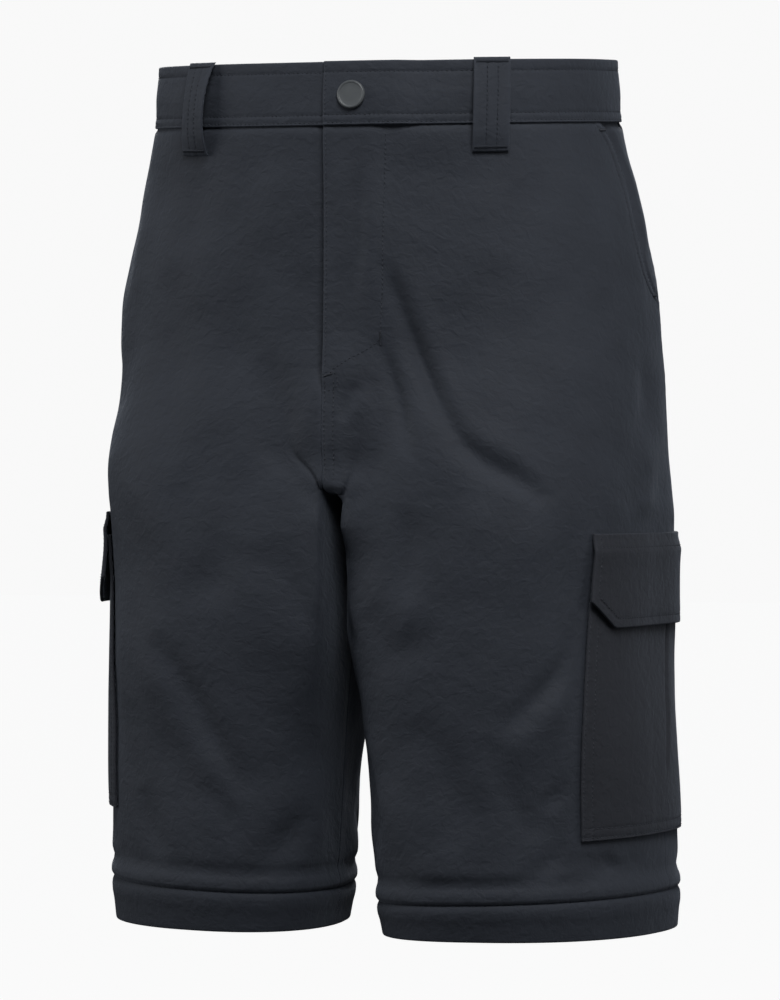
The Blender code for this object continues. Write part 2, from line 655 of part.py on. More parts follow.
def main():
    for old in list(bpy.data.objects):
        bpy.data.objects.remove(old, do_unlink=True)
    waistband("waistband")
    snap_button("snap_button")
    for name, side in (("left", 1), ("right", -1)):
        front_panel("front_" + name, side)
        back_panel("back_" + name, side)
        pocket_facing("pocket_facing_" + name, side)
        cargo_pocket("cargo_pocket_" + name, side)
        cargo_flap("cargo_flap_" + name, side)
        hem_flap("hem_flap_" + name, side)
        zip_tape("zip_tape_" + name, side)
    for loop in LOOPS:
        belt_loop(*loop)


main()
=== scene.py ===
"""Looks of the convertible trousers in their short state: cloth shells, sewing, half zips and snap.

Sizes are in millimetres until a mesh is made. Each piece of cloth is a shell on the form that its solid has: a
place on the cloth is a level, its height over the middle of the waistband, and a distance behind the outermost
point of the leg, negative towards the front. The wearer faces -Y and the wearer's left is +X.
"""

import bmesh
import bpy
import numpy as np
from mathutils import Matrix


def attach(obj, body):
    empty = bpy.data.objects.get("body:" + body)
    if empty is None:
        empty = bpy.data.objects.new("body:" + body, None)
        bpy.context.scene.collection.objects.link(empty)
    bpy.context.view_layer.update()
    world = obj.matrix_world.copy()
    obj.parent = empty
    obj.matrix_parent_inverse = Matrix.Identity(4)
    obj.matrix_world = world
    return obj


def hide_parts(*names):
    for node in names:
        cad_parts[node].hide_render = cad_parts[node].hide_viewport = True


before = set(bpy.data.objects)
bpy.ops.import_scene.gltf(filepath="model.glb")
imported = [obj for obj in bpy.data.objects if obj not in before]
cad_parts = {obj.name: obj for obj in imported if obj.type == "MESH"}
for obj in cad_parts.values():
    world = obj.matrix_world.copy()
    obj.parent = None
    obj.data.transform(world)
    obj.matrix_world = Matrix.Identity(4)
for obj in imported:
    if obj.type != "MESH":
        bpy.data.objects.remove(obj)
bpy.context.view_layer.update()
MM = 0.001

# Spacing of the cloth's grids
STEP = 2.4

# Levels, walls and clearances, as in the solids, but for the hem's seam: it is 6.5 mm lower here, as the photo has
# it, and the leg's cloth rolls out over it
BAND_TOP = 21.0
BAND_SEAM = -19.0
RISE_TOP = -165.0
CROTCH = -258.0
LEG_SEAM = -510.5
SHELL_WALL = 1.6
BAND_WALL = 2.4
FLAP_WALL = 2.2
LOOP_WALL = 1.8
LAYER_GAP = 0.6
POCKET_GAP = 1.1

# The form, level by level: the half's outer and inner reach from the centre plane, its depth to the front and
# the back, the turn of the leg's front towards the centre in degrees, and the side seam's distance behind the
# outermost point
FORM_COLUMNS = ("level", "side", "inner", "front", "back", "skew", "seam")
FORM = np.array((
    (21, 150.5, 0.0, 101.0, 100.0, 0.0, 22),
    (-18, 153.0, 0.0, 103.5, 103.5, 0.0, 24),
    (-60, 162.5, 0.0, 102.0, 110.5, 0.0, 27),
    (-110, 172.5, 0.0, 102.0, 117.5, 1.5, 28),
    (-160, 178.0, 0.0, 103.5, 121.5, 5.0, 27),
    (-210, 180.0, 0.0, 108.5, 120.5, 9.0, 24),
    (-270, 179.5, 1.0, 113.0, 115.0, 13.0, 19),
    (-330, 176.5, 2.5, 113.0, 108.5, 14.0, 13),
    (-400, 179.5, 9.5, 110.0, 103.5, 14.5, 5),
    (-470, 185.0, 14.5, 105.0, 100.5, 16.0, -10),
    (-540, 186.5, 19.0, 98.5, 98.5, 17.5, -4),
))
TORSO_SQUARENESS = 2.3
WIDEST_BEHIND = 17.0
LEG_SQUARENESS = 2.2
THIGH_SQUARENESS = 0.5
THIGH_LEVEL = -290.0
THIGH_REACH = 110.0
# The legs' inner corners are squarer about the crotch, where the legs press against each other
CORNER_SQUARENESS = 1.0
CORNER_LEVEL = -262.0
CORNER_REACH = 45.0
CORNER_RISE = (0.0, 0.07)
CORNER_FALL = (0.12, 0.3)
# The legs' front inner corners press flat against each other under the rise. For each half: the share that they
# are squeezed sideways, then the depths below the waist between which the squeeze ends
PRESSED = {1: (0.0, 262.0, 300.0), -1: (0.96, 330.0, 440.0)}
PRESSED_FROM = (230.0, 254.0)
PRESSED_FORWARD = 0.85
PRESSED_WIDTH = 56.0
PRESSED_DEPTH = 62.0
PRESSED_BEHIND = (35.0, 80.0)
PRESSED_BESIDE = (12.0, 46.0)
RISE_POWER = 5.0
RISE_SOFT_POWER = 0.8
RISE_SOFT_FROM = 0.055
RISE_DELAY = 20.0
RISE_DELAY_FROM = 0.08
# Levels about the crotch, over or under it; whole millimetres, as the tables of girths have them
RISE_CLOSE = np.array((
    20, 18, 16, 14, 12, 10, 8, 6, 5, 4, 3, 2, 1, 0, -1, -2, -3, -4, -5, -6, -8, -10, -12, -14, -16, -18, -20,
))
LEG_TAKEOVER = (120.0, 290.0)
EDGE_REACH = 0.25
WAIST_TILT = 0.075
WAIST_ROLL = -0.012
WAIST_FADE = (20.0, 250.0)
HEM_TILT = 0.025
HEM_TILT_FADE = (300.0, 540.0)
LEG_CENTRE = 105.0
RIGHT_LIFT = 4.0
RIGHT_LIFT_FADE = (100.0, 300.0)

# What every cloth has: share of its wall that its edges are rounded by, width of the wear along its edges, how
# far the panels' tops are drawn in under the waistband, and where rows of stitches start under it
ROUND_SHARE = 0.46
WORN_WIDTH = 2.2
PANEL_DIP = 1.3
BELOW_BAND = BAND_SEAM - 1.5

# Fly. Columns of its curved stitching: depth below the waist, distance from the centre front. Columns of the box
# of stitches at its foot: level, distance from the centre front
FLY_LAP = 18.0
FLY_FLAT = 30.0
FLY_STITCH = 45.0
FLY_RAISE = SHELL_WALL + 0.5
FLY_EDGE_LIFT = 0.7
FLY_EDGE_WIDTH = 9.0
FLY_END = -176.0
FLY_FADE = -194.0
FLY_TURN = -157.0
LAP_TAPER = -130.0
FLY_SHADE_DEPTH = 2.4
FLY_SHADE_WIDTH = 8.0
FLY_SHADE_FROM = (40.0, 130.0)
FLY_GAP_DEPTH = 1.5
FLY_GAP_WIDTH = 4.0
FLY_CURVE = np.array(((20, 40.5), (45, 39.7), (126, 38.1), (157, 36.4), (163, 30.0), (170, 17.5), (179, 4.0)))
FLY_FOOT_BOX = np.array((
    (-179.0, 1.6), (-179.0, 8.4), (-181.0, 9.8), (-187.5, 9.8), (-190.5, 8.0), (-191.0, 1.6),
))

# Waistband; its rows of stitches are levels
BAND_PROUD = 0.5
BAND_LAP = 34.0
BAND_FLAT = 44.0
BAND_BLEND = 64.0
BAND_RAISE = BAND_WALL + 0.5
BAND_PUFF = 0.7
BAND_TOP_ROW = BAND_TOP - 7.0
BAND_FOOT_ROWS = (BAND_SEAM + 1.8, BAND_SEAM + 6.5)

# Opening of the slash pocket and the facing behind it. Columns of SLASH: level, distance behind the outermost
# point. Rows of stitches are distances from the edge
SLASH = np.array((
    (-19, -25), (-32, -14), (-45, -8), (-60, -6.5), (-75, -6.5), (-90, -6), (-104, -4), (-116, 1), (-126, 10),
    (-136, 28),
))
SLASH_FOOT = -134.0
SLASH_ROWS = (1.8, 8.3)
RISE_ROWS = (1.8, 7.6)
FACING_UNDER = 14.0
FACING_END = -150.0
FACING_DEPTH = SHELL_WALL + 1.8
FACING_CLOSER = 1.3
FACING_CLOSING = 0.65
FACING_RISE = (4.0, 16.0)
FACING_TOP = BAND_SEAM + 5.5
FACING_SEAT = -3.1
FACING_DEEP = (90.0, 110.0)

# Cargo pockets. The flap's stand is how far its foot stands off on each half
POCKET_FRONT = -101.5
POCKET_BACK = 101.5
POCKET_TOP = -296.0
POCKET_FOOT = -473.0
POCKET_PUFF = 2.5
PLEAT_AHEAD = 8.0
PLEAT_DEPTH = 1.8
PLEAT_HALF = 1.8
PLEAT_FOOT = -440.0
POCKET_HEM = 7.5
POCKET_ROWS = (1.8, 8.3)
POCKET_FLAP_TOP = -281.0
POCKET_FLAP_FOOT = -340.0
POCKET_FLAP_OVERLAP = 3.0
POCKET_FLAP_STAND = {1: 2.4, -1: 4.4}
CHAMFER_WIDTH = 23.0
CHAMFER_HEIGHT = 17.0
RIGHT_POCKET_LIFT = 9.0
MOUTH_RISE = (2.0, 12.0)
FLAP_BAND = 8.5
FLAP_INSET = 6.0

# Belt loops. Columns of LOOPS: name, half, what the distance starts from, distance, twist, lean
LOOP_WIDTH = 23.0
LOOP_TOP = 22.0
LOOP_FOOT = -37.0
LOOP_BOW = 2.8
LOOP_BOW_POWER = 0.7
LOOP_SEAT = 0.4
LOOP_STEP = 4.0
LOOP_ROWS_OF_STITCHES = (-3.2, 3.4)
LOOPS = (
    ("front_left", 1, "front", 105.5, 0.8, 0.0),
    ("front_right", -1, "front", 90.0, 5.0, 5.5),
    ("back_left", 1, "back", 96.0, 1.0, -0.8),
    ("back_right", -1, "back", 94.0, 1.5, 1.2),
    ("back_centre", 1, "back", 0.0, 0.0, 0.6),
)

# Hems. Columns of the profiles: level, height over the form. The drop is how much lower the hem's edge hangs on
# each half, and on the outside of both
LIP_PROUD = 1.5
LIP_DIP = 0.9
LIP_TOP = -500.0
LIP_ROUND = 3.0
LIP_STEP = 6.0
HEM_PROFILE = ((-510.3, -0.6), (-511.5, 0.1), (-514.0, 1.3), (-518.0, 1.2), (-522.0, 0.2), (-526.0, -0.4),
               (-530.5, -0.9), (-532.0, -1.3))
HEM_WALL = 2.0
HEM_EDGE = -532.0
HEM_DROP = {1: 0.0, -1: 3.0}
HEM_OUTER_DROP = 5.0
TAPE_PROFILE = ((-507.0, -3.0), (-513.0, -2.1), (-520.0, -2.1))
TAPE_WALL = 1.0
TAPE_END_GAP = 5.0
TUBE_COLUMNS = 200
TOOTH_PITCH = 1.7

# Snap. Columns: radius, height over its seat
SNAP_SIDES = 72
SNAP_AT = 19.0
SNAP_LEVEL = -0.5
SNAP_PROFILE = (
    (0.0, 0.0), (8.7, 0.0), (8.95, 0.35), (9.0, 1.2), (8.9, 1.8), (8.6, 2.25), (8.2, 2.5), (7.8, 2.55),
    (7.45, 2.4), (7.2, 2.2), (6.9, 2.12), (4.0, 2.25), (0.0, 2.32),
)

# Sewing
THREAD_PITCH = 3.0
THREAD_STITCH = 2.4
THREAD_RADIUS = 0.34
THREAD_SINK = 0.25
BARTACK_PITCH = 0.7
BARTACK_LEAN = 0.4

# Folds: half of the garment, depth, half width, height of the soft ridge on the left of the
# line's own direction (negative: on its right), then the places that the line runs through, each one a
# distance behind the outermost point and a level
FOLDS = (
    # wearer's left front: the long drag fold from the fly to the outside of the thigh, and its neighbours
    (1, 2.6, 6.0, 1.1, (-199, -102), (-190, -135), (-186, -165), (-183, -198), (-179, -224), (-168, -236)),
    (1, 2.2, 8.0, 0.9, (-181, -222), (-168, -237), (-152, -246), (-136, -263)),
    (1, 1.8, 5.0, 0.7, (-209, -156), (-207, -178), (-209, -204), (-215, -236)),
    (1, 1.0, 3.5, 0.5, (-228, -184), (-240, -197), (-251, -210)),
    (1, 0.9, 3.0, 0.3, (-264, -226), (-269, -236), (-272, -245)),
    (1, 1.1, 5.0, 0.6, (-199, -36), (-206, -62), (-213, -100), (-222, -138)),
    (1, 1.6, 12.0, 0.8, (-22, -168), (-16, -195), (-50, -228), (-84, -262)),
    (1, 1.2, 8.0, 0.5, (-30, -240), (-52, -256), (-70, -274)),
    (1, 1.4, 9.0, 0.6, (-229, -262), (-226, -290), (-220, -326)),
    (1, 1.8, 13.0, 0.7, (-250, -326), (-228, -356), (-196, -348)),
    (1, 2.4, 8.0, 1.2, (-104, -340), (-119, -368), (-140, -390), (-157, -406)),
    (1, 1.8, 12.0, 0.9, (-206, -392), (-193, -418), (-179, -450), (-188, -478)),
    (1, 1.4, 6.0, 0.8, (-98, -426), (-112, -442), (-130, -452)),
    (1, 1.5, 8.0, 0.8, (-104, -474), (-122, -486), (-140, -500)),
    (1, 1.6, 14.0, 0.6, (-266, -420), (-246, -470), (-228, -494)),
    (1, 1.1, 6.0, 0.5, (-88, -474), (-78, -486), (-68, -498)),
    (1, 1.2, 10.0, 0.5, (-160, -404), (-150, -440), (-134, -470)),
    # wearer's right front
    (-1, 2.0, 11.0, 0.8, (-203, -168), (-219, -192), (-238, -214), (-254, -236)),
    (-1, 1.2, 9.0, 0.4, (-226, -112), (-238, -142), (-246, -170)),
    (-1, 1.3, 14.0, 0.6, (-120, -150), (-150, -190), (-176, -240)),
    (-1, 1.6, 12.0, 0.7, (-240, -290), (-256, -330), (-270, -352)),
    (-1, 2.2, 9.0, 1.0, (-160, -350), (-180, -378), (-190, -398), (-200, -420), (-222, -450)),
    (-1, 1.4, 14.0, 0.6, (-228, -288), (-212, -312), (-186, -330)),
    (-1, 1.6, 10.0, 0.8, (-264, -458), (-244, -476), (-222, -494)),
    (-1, 1.3, 10.0, 0.5, (-136, -448), (-148, -474), (-158, -492)),
    (-1, 1.0, 8.0, 0.4, (-190, -440), (-206, -462), (-214, -482)),
    # seat and backs of the legs
    (1, 2.2, 9.0, 1.0, (262, -226), (228, -244), (190, -262), (150, -288)),
    (1, 1.8, 8.0, 0.8, (286, -252), (248, -276), (206, -312), (176, -346)),
    (1, 1.6, 11.0, 0.7, (240, -300), (222, -340), (190, -392)),
    (1, 1.5, 13.0, 0.7, (214, -398), (180, -432), (142, -466)),
    (1, 1.2, 12.0, 0.6, (110, -120), (130, -170), (136, -216)),
    (1, 1.1, 7.0, 0.4, (234, -430), (216, -462), (196, -486)),
    (-1, 2.0, 9.0, 0.9, (266, -222), (234, -238), (196, -262), (160, -290)),
    (-1, 1.9, 8.0, 0.8, (284, -256), (252, -276), (212, -306), (180, -338)),
    (-1, 1.5, 12.0, 0.7, (196, -368), (214, -410), (228, -452)),
    (-1, 1.3, 9.0, 0.6, (156, -438), (184, -462), (208, -484)),
    (-1, 1.2, 13.0, 0.5, (96, -96), (116, -150), (128, -200)),
    # inner sides of the legs, under the crotch
    (1, 1.4, 7.0, 0.6, (-292, -300), (-282, -330), (-262, -356)),
    (-1, 1.5, 7.0, 0.7, (-296, -298), (-286, -324), (-270, -346)),
    (1, 1.4, 7.0, 0.6, (286, -300), (276, -336), (252, -372)),
    (-1, 1.4, 7.0, 0.6, (248, -462), (240, -480), (236, -500)),
)
FOLD_STRENGTH = 1.8
FOLD_SAMPLES = 24
FOLD_OFF_POCKET = (4.0, 20.0)
FOLD_UNDER_BAND = (26.0, 60.0)
FOLD_OFF_SEAMS = (0.5, 14.0)
FOLD_OVER_HEM = 10.0

# Slow unevenness of worn cloth: waves of many lengths, each as high as WAVE_SHARE of its length
WAVE_COUNT = 22
WAVE_LENGTHS = (26.0, 150.0)
WAVE_SHARE = 0.0034

# Puckers that the thread draws in along a seam
PUCKER_LENGTH = 8.5
PUCKER_HEIGHT = 0.28


def smooth(value, low, high):
    """Soft step: 3t^2 - 2t^3 of the share t from low to high."""
    t = np.clip((np.asarray(value, float) - low) / (high - low), 0.0, 1.0)
    return t * t * (3.0 - 2.0 * t)


def bell(distance, width):
    """1 at no distance, falling to 1/e at the width: e^-(d/w)^2."""
    return np.exp(-((distance / width) ** 2))


def curve_through(table, column, level):
    """Cubic curve with matching slopes through one column of a table whose first column falls."""
    levels, values = table[:, 0], table[:, column]
    slopes = np.gradient(values, levels)
    slopes[1:-1] = (values[2:] - values[:-2]) / (levels[2:] - levels[:-2])
    level = np.asarray(level, float)
    i = np.clip(np.searchsorted(-levels, -level, side="right") - 1, 0, len(levels) - 2)
    span = levels[i + 1] - levels[i]
    t = np.clip((level - levels[i]) / span, -0.3, 1.3)
    start = (2 * t**3 - 3 * t**2 + 1) * values[i] + (t**3 - 2 * t**2 + t) * span * slopes[i]
    end = (3 * t**2 - 2 * t**3) * values[i + 1] + (t**3 - t**2) * span * slopes[i + 1]
    return start + end


def column(name, level):
    """One column of the form at a level."""
    return curve_through(FORM, FORM_COLUMNS.index(name), level)


def signed_power(value, power):
    """Power of the size, with the value's own sign, as superellipses need."""
    return np.sign(value) * np.abs(value) ** power


def near_waist(level):
    """1 at the waist, fading out down the hips."""
    return 1.0 - smooth(-np.asarray(level, float), *WAIST_FADE)


def ring(path, level):
    """Left half's ring at a level, path running 0 to 1 from the front inner edge round the side to the back.

    A superellipse round the half torso is blended into a superellipse round the leg, first at the inner
    edges, which draws the curve of the rise, and more softly all round.
    """
    side, front, back = (column(name, level) for name in ("side", "front", "back"))
    inner = np.maximum(column("inner", level), 0.0)
    skew = np.radians(column("skew", level))
    from_edge = np.minimum(path, 1.0 - path)
    corner = smooth(from_edge, *CORNER_RISE) * (1.0 - smooth(from_edge, *CORNER_FALL))
    squareness = LEG_SQUARENESS + THIGH_SQUARENESS * bell(level - THIGH_LEVEL, THIGH_REACH)
    leg_power = 2.0 / (squareness + CORNER_SQUARENESS * corner * bell(level - CORNER_LEVEL, CORNER_REACH))
    turn = np.pi * (1.0 + 2.0 * path)
    leg_x = (side + inner) / 2 + (side - inner) / 2 * signed_power(np.cos(turn), leg_power)
    leg_y = (back - front) / 2 + (back + front) / 2 * signed_power(np.sin(turn + skew), leg_power)

    torso_power = 2.0 / TORSO_SQUARENESS
    around = np.radians(np.interp(path, (0, 0.25, 0.5, 0.75, 1), (0, 30, 90, 150, 180)))
    torso_x = side * signed_power(np.sin(around), torso_power)
    depth = np.where(path < 0.5, front + WIDEST_BEHIND, back - WIDEST_BEHIND)
    torso_y = WIDEST_BEHIND - depth * signed_power(np.cos(around), torso_power)

    later = RISE_DELAY * smooth(from_edge, 0.0, RISE_DELAY_FROM)
    fall = np.clip((RISE_TOP - level) / (RISE_TOP - CROTCH + later), 0.0, 1.0)
    power = RISE_POWER + (RISE_SOFT_POWER - RISE_POWER) * smooth(from_edge, 0.0, RISE_SOFT_FROM)
    share_at_edge = 1.0 - (1.0 - fall**RISE_POWER) ** (1.0 / power)
    share_at_side = smooth(-np.asarray(level), *LEG_TAKEOVER)
    mix = smooth(from_edge, 0.0, EDGE_REACH)
    leg_share = share_at_edge * (1.0 - mix) + share_at_side * mix
    x = torso_x + leg_share * (leg_x - torso_x)
    y = torso_y + leg_share * (leg_y - torso_y)
    waist_tilt = WAIST_TILT * y * near_waist(level)
    hem_tilt = HEM_TILT * (x - LEG_CENTRE) * smooth(-np.asarray(level), *HEM_TILT_FADE)
    return np.stack(np.broadcast_arrays(x, y, level + waist_tilt + hem_tilt), axis=-1)


def form(path, level):
    """ring, carried on past its inner edges: round the leg below the crotch, into the other half above."""
    path, level = np.broadcast_arrays(np.asarray(path, float), np.asarray(level, float))
    outside = (path < 0.0) | (path > 1.0)
    torso = level > CROTCH
    folded = np.where(path < 0.0, -path, np.where(path > 1.0, 2.0 - path, path))
    wrapped = np.where(outside, path - np.floor(path), path)
    points = ring(np.where(torso, folded, wrapped), level)
    points[..., 0] *= np.where(outside & torso, -1.0, 1.0)
    return points


def outward(path, level):
    """Unit normal of the form: the cross product of its two central differences."""
    along = form(path + 0.003, level) - form(path - 0.003, level)
    up = form(path, level + 1.5) - form(path, level - 1.5)
    normal = np.cross(along, up)
    return normal / np.linalg.norm(normal, axis=-1, keepdims=True)


# Two tables turn distances round the body into places on a ring and back: lengths at even steps of path, and
# path at even shares of the length, one row for each millimetre of level
TABLE_TOP = 40.0
TABLE_LEVELS = np.arange(TABLE_TOP, -560.0, -1.0)
TABLE_PATHS = np.linspace(0.0, 1.0, 721)


def girth_tables():
    """Sums the steps along each ring, from the outermost point, and reads the paths back at even lengths."""
    points = ring(TABLE_PATHS[None, :], TABLE_LEVELS[:, None])
    steps = np.linalg.norm(np.diff(points[..., :2], axis=1), axis=-1)
    lengths = np.concatenate([np.zeros((len(points), 1)), np.cumsum(steps, axis=1)], axis=1)
    lengths -= lengths[:, [len(TABLE_PATHS) // 2]]
    even = [np.interp(np.linspace(row[0], row[-1], len(TABLE_PATHS)), row, TABLE_PATHS) for row in lengths]
    return lengths, np.array(even)


LENGTHS, PATHS = girth_tables()


def lookup(table, rows, columns):
    """Reading between the four nearest values of a table."""
    rows = np.clip(rows, 0, table.shape[0] - 1.001)
    columns = np.clip(columns, 0, table.shape[1] - 1.0001)
    i, j = rows.astype(int), columns.astype(int)
    u, v = rows - i, columns - j
    upper = (1 - v) * table[i, j] + v * table[i, j + 1]
    lower = (1 - v) * table[i + 1, j] + v * table[i + 1, j + 1]
    return (1 - u) * upper + u * lower


def front_at(level):
    """Distance of the centre front, or the inner seam, behind the outermost point: always negative."""
    return np.interp(-np.asarray(level, float), -TABLE_LEVELS, LENGTHS[:, 0])


def back_at(level):
    """The same for the centre back, or the inner seam from behind: always positive."""
    return np.interp(-np.asarray(level, float), -TABLE_LEVELS, LENGTHS[:, -1])


def path_at(level, behind):
    """Path of a distance behind the outermost point."""
    front, back = front_at(level), back_at(level)
    share = np.clip((behind - front) / (back - front), 0.0, 1.0)
    return lookup(PATHS, TABLE_TOP - level, share * (len(TABLE_PATHS) - 1))


def behind_at(level, path):
    """Distance behind the outermost point at a path, the same one for all levels."""
    return lookup(LENGTHS, TABLE_TOP - level, np.full(level.shape, path * (len(TABLE_PATHS) - 1)))


def reach_along(points):
    """Length of a line up to each of its points."""
    return np.concatenate([[0.0], np.cumsum(np.linalg.norm(np.diff(points, axis=0), axis=1))])


def read_at(spots, reach, values):
    """Values along a line, one row for each point of it, read at lengths along it."""
    return np.stack([np.interp(spots, reach, each) for each in values.T], axis=1)


def fold_line(places):
    """The places joined and rounded off, as evenly spaced points."""
    places = np.array(places, float)
    reach = reach_along(places)
    line = read_at(np.linspace(0.0, reach[-1], FOLD_SAMPLES), reach, places)
    for _ in range(6):
        line[1:-1] = (line[:-2] + 2 * line[1:-1] + line[2:]) / 4
    return line, reach[-1] / (FOLD_SAMPLES - 1)


def fold_height(side, behind, level):
    """Each fold is a bell-shaped trough across its line with a softer ridge beside it, faded at both ends."""
    height = np.zeros(behind.shape)
    for fold_side, depth, width, ridge, *places in FOLDS:
        line, spacing = fold_line(places)
        low, high = line.min(axis=0) - 5 * width, line.max(axis=0) + 5 * width
        near = (side == fold_side) & (behind > low[0]) & (behind < high[0]) & (level > low[1]) & (level < high[1])
        if not near.any():
            continue
        place_here = np.stack([behind[near], level[near]], axis=-1)
        closest = ((place_here[:, None] - line) ** 2).sum(axis=-1).argmin(axis=1)
        tangent = np.gradient(line, axis=0)
        tangent = (tangent / np.linalg.norm(tangent, axis=1, keepdims=True))[closest]
        off = place_here - line[closest]
        share = (closest + (off * tangent).sum(axis=1) / spacing) / (FOLD_SAMPLES - 1)
        aside = tangent[:, 0] * off[:, 1] - tangent[:, 1] * off[:, 0]
        fade = np.sin(np.pi * np.clip(share, 0.0, 1.0)) ** 0.8
        crest = abs(ridge) * bell(aside - np.sign(ridge) * 1.8 * width, 1.4 * width)
        height[near] += fade * (crest - depth * bell(aside, width))
    return height


def uneven_height(side, behind, level):
    """Sum of straight waves with seeded directions and phases, other ones on each half."""
    draw = np.random.default_rng(11)
    height = np.zeros(behind.shape)
    for _ in range(WAVE_COUNT):
        length = draw.uniform(*WAVE_LENGTHS)
        turn, phase, other = draw.uniform(0.0, 2 * np.pi, 3)
        across = behind * np.cos(turn) + level * np.sin(turn)
        height += WAVE_SHARE * length * np.sin(2 * np.pi * across / length + phase + side * other)
    return height


def relief(side, behind, level):
    """Folds and unevenness, faded off the band, the hem and the ground of the cargo pocket."""
    beside = np.maximum(POCKET_FRONT - behind, behind - POCKET_BACK)
    above = np.maximum(level - POCKET_FLAP_TOP, POCKET_FOOT - level)
    off_pocket = smooth(np.maximum(beside, above), *FOLD_OFF_POCKET)
    off_band = smooth(-level, *FOLD_UNDER_BAND)
    off_hem = smooth(level, LIP_TOP, LIP_TOP + FOLD_OVER_HEM)
    folds = FOLD_STRENGTH * fold_height(side, behind, level) * off_pocket
    calm = 0.35 + 0.65 * off_pocket
    off_seams = smooth(np.minimum(behind - front_at(level), back_at(level) - behind), *FOLD_OFF_SEAMS)
    return (folds + uneven_height(side, behind, level) * calm) * off_band * off_hem * off_seams


def press_corners(points, level, side):
    """Squeezes the legs' front inner corners square.

    Distances from the middle plane and from the foremost plane shrink, the small ones most.
    """
    middle, forward = points[..., 0].copy(), points[..., 1] + column("front", level)
    fades = {half: 1.0 - smooth(-level, *PRESSED[half][1:]) for half in PRESSED}
    fade = smooth(-level, *PRESSED_FROM) * np.where(side > 0, fades[1], fades[-1])
    sideways = fade * np.where(side > 0, PRESSED[1][0], PRESSED[-1][0])
    near_middle, near_front = 1.0 - smooth(middle, 0.0, PRESSED_WIDTH), 1.0 - smooth(forward, 0.0, PRESSED_DEPTH)
    points[..., 0] -= middle * sideways * near_middle * (1.0 - smooth(forward, *PRESSED_BEHIND))
    points[..., 1] -= forward * PRESSED_FORWARD * fade * near_front * (1.0 - smooth(middle, *PRESSED_BESIDE))


def place(level, behind, out, side=1):
    """Points of the cloth, out over its outer face; behind beyond the centre front crosses to the other half."""
    level, behind, out, side = np.broadcast_arrays(*(np.asarray(v, float) for v in (level, behind, out, side)))
    front = front_at(level)
    crossed = (behind < front) & (level > CROTCH)
    behind = np.where(crossed, 2 * front - behind, behind)
    path = path_at(level, behind)
    height = out + relief(side, behind, level)
    points = form(path, level) + outward(path, level) * height[..., None]
    press_corners(points, level, side)
    points[..., 0] *= np.where(crossed, -side, side)
    points[..., 2] += WAIST_ROLL * points[..., 0] * near_waist(level)
    points[..., 2] += np.where(side < 0, RIGHT_LIFT * smooth(-level, *RIGHT_LIFT_FADE), 0.0)
    return points


def linear(hex_colour):
    """sRGB hex to Blender's linear colour."""
    srgb = np.array([int(hex_colour[i:i + 2], 16) for i in (0, 2, 4)]) / 255.0
    values = np.where(srgb <= 0.04045, srgb / 12.92, ((srgb + 0.055) / 1.055) ** 2.4)
    return (*(float(v) for v in values), 1.0)


def add(tree, kind, links=None, values=None, **settings):
    """Node with its settings; links go from socket names to output sockets, values to plain numbers."""
    node = tree.nodes.new("ShaderNode" + kind)
    for name, value in settings.items():
        setattr(node, name, value)
    for name, value in (values or {}).items():
        node.inputs[name].default_value = value
    for name, socket in (links or {}).items():
        tree.links.new(node.inputs[name], socket)
    return node


def new_finish(name, colour):
    """Material with an empty tree but for its output and its shader."""
    made = bpy.data.materials.new(name)
    made.diffuse_color = colour
    made.use_nodes = True
    tree = made.node_tree
    tree.nodes.clear()
    shader = add(tree, "BsdfPrincipled")
    output = add(tree, "OutputMaterial")
    tree.links.new(output.inputs["Surface"], shader.outputs["BSDF"])
    return made, tree, shader


def dye(tree, shader, colour, tone):
    """Base colour: the finish's own colour, lighter or darker by the tone."""
    dyed = add(tree, "VectorMath", {"Scale": tone}, {0: colour[:3]}, operation="SCALE").outputs[0]
    tree.links.new(shader.inputs["Base Color"], dyed)


# Threads of the plain weave are 0.25 mm apart, too fine to show, so they are drawn 0.82 mm apart. A wave texture
# draws 20 / 2 pi bands a unit at scale 1, and a unit is UV_MILLIMETRES of cloth
WEAVE_PITCH = 0.81681
UV_MILLIMETRES = 100.0
WEAVE_SCALE = 2 * np.pi / 20 * UV_MILLIMETRES / WEAVE_PITCH


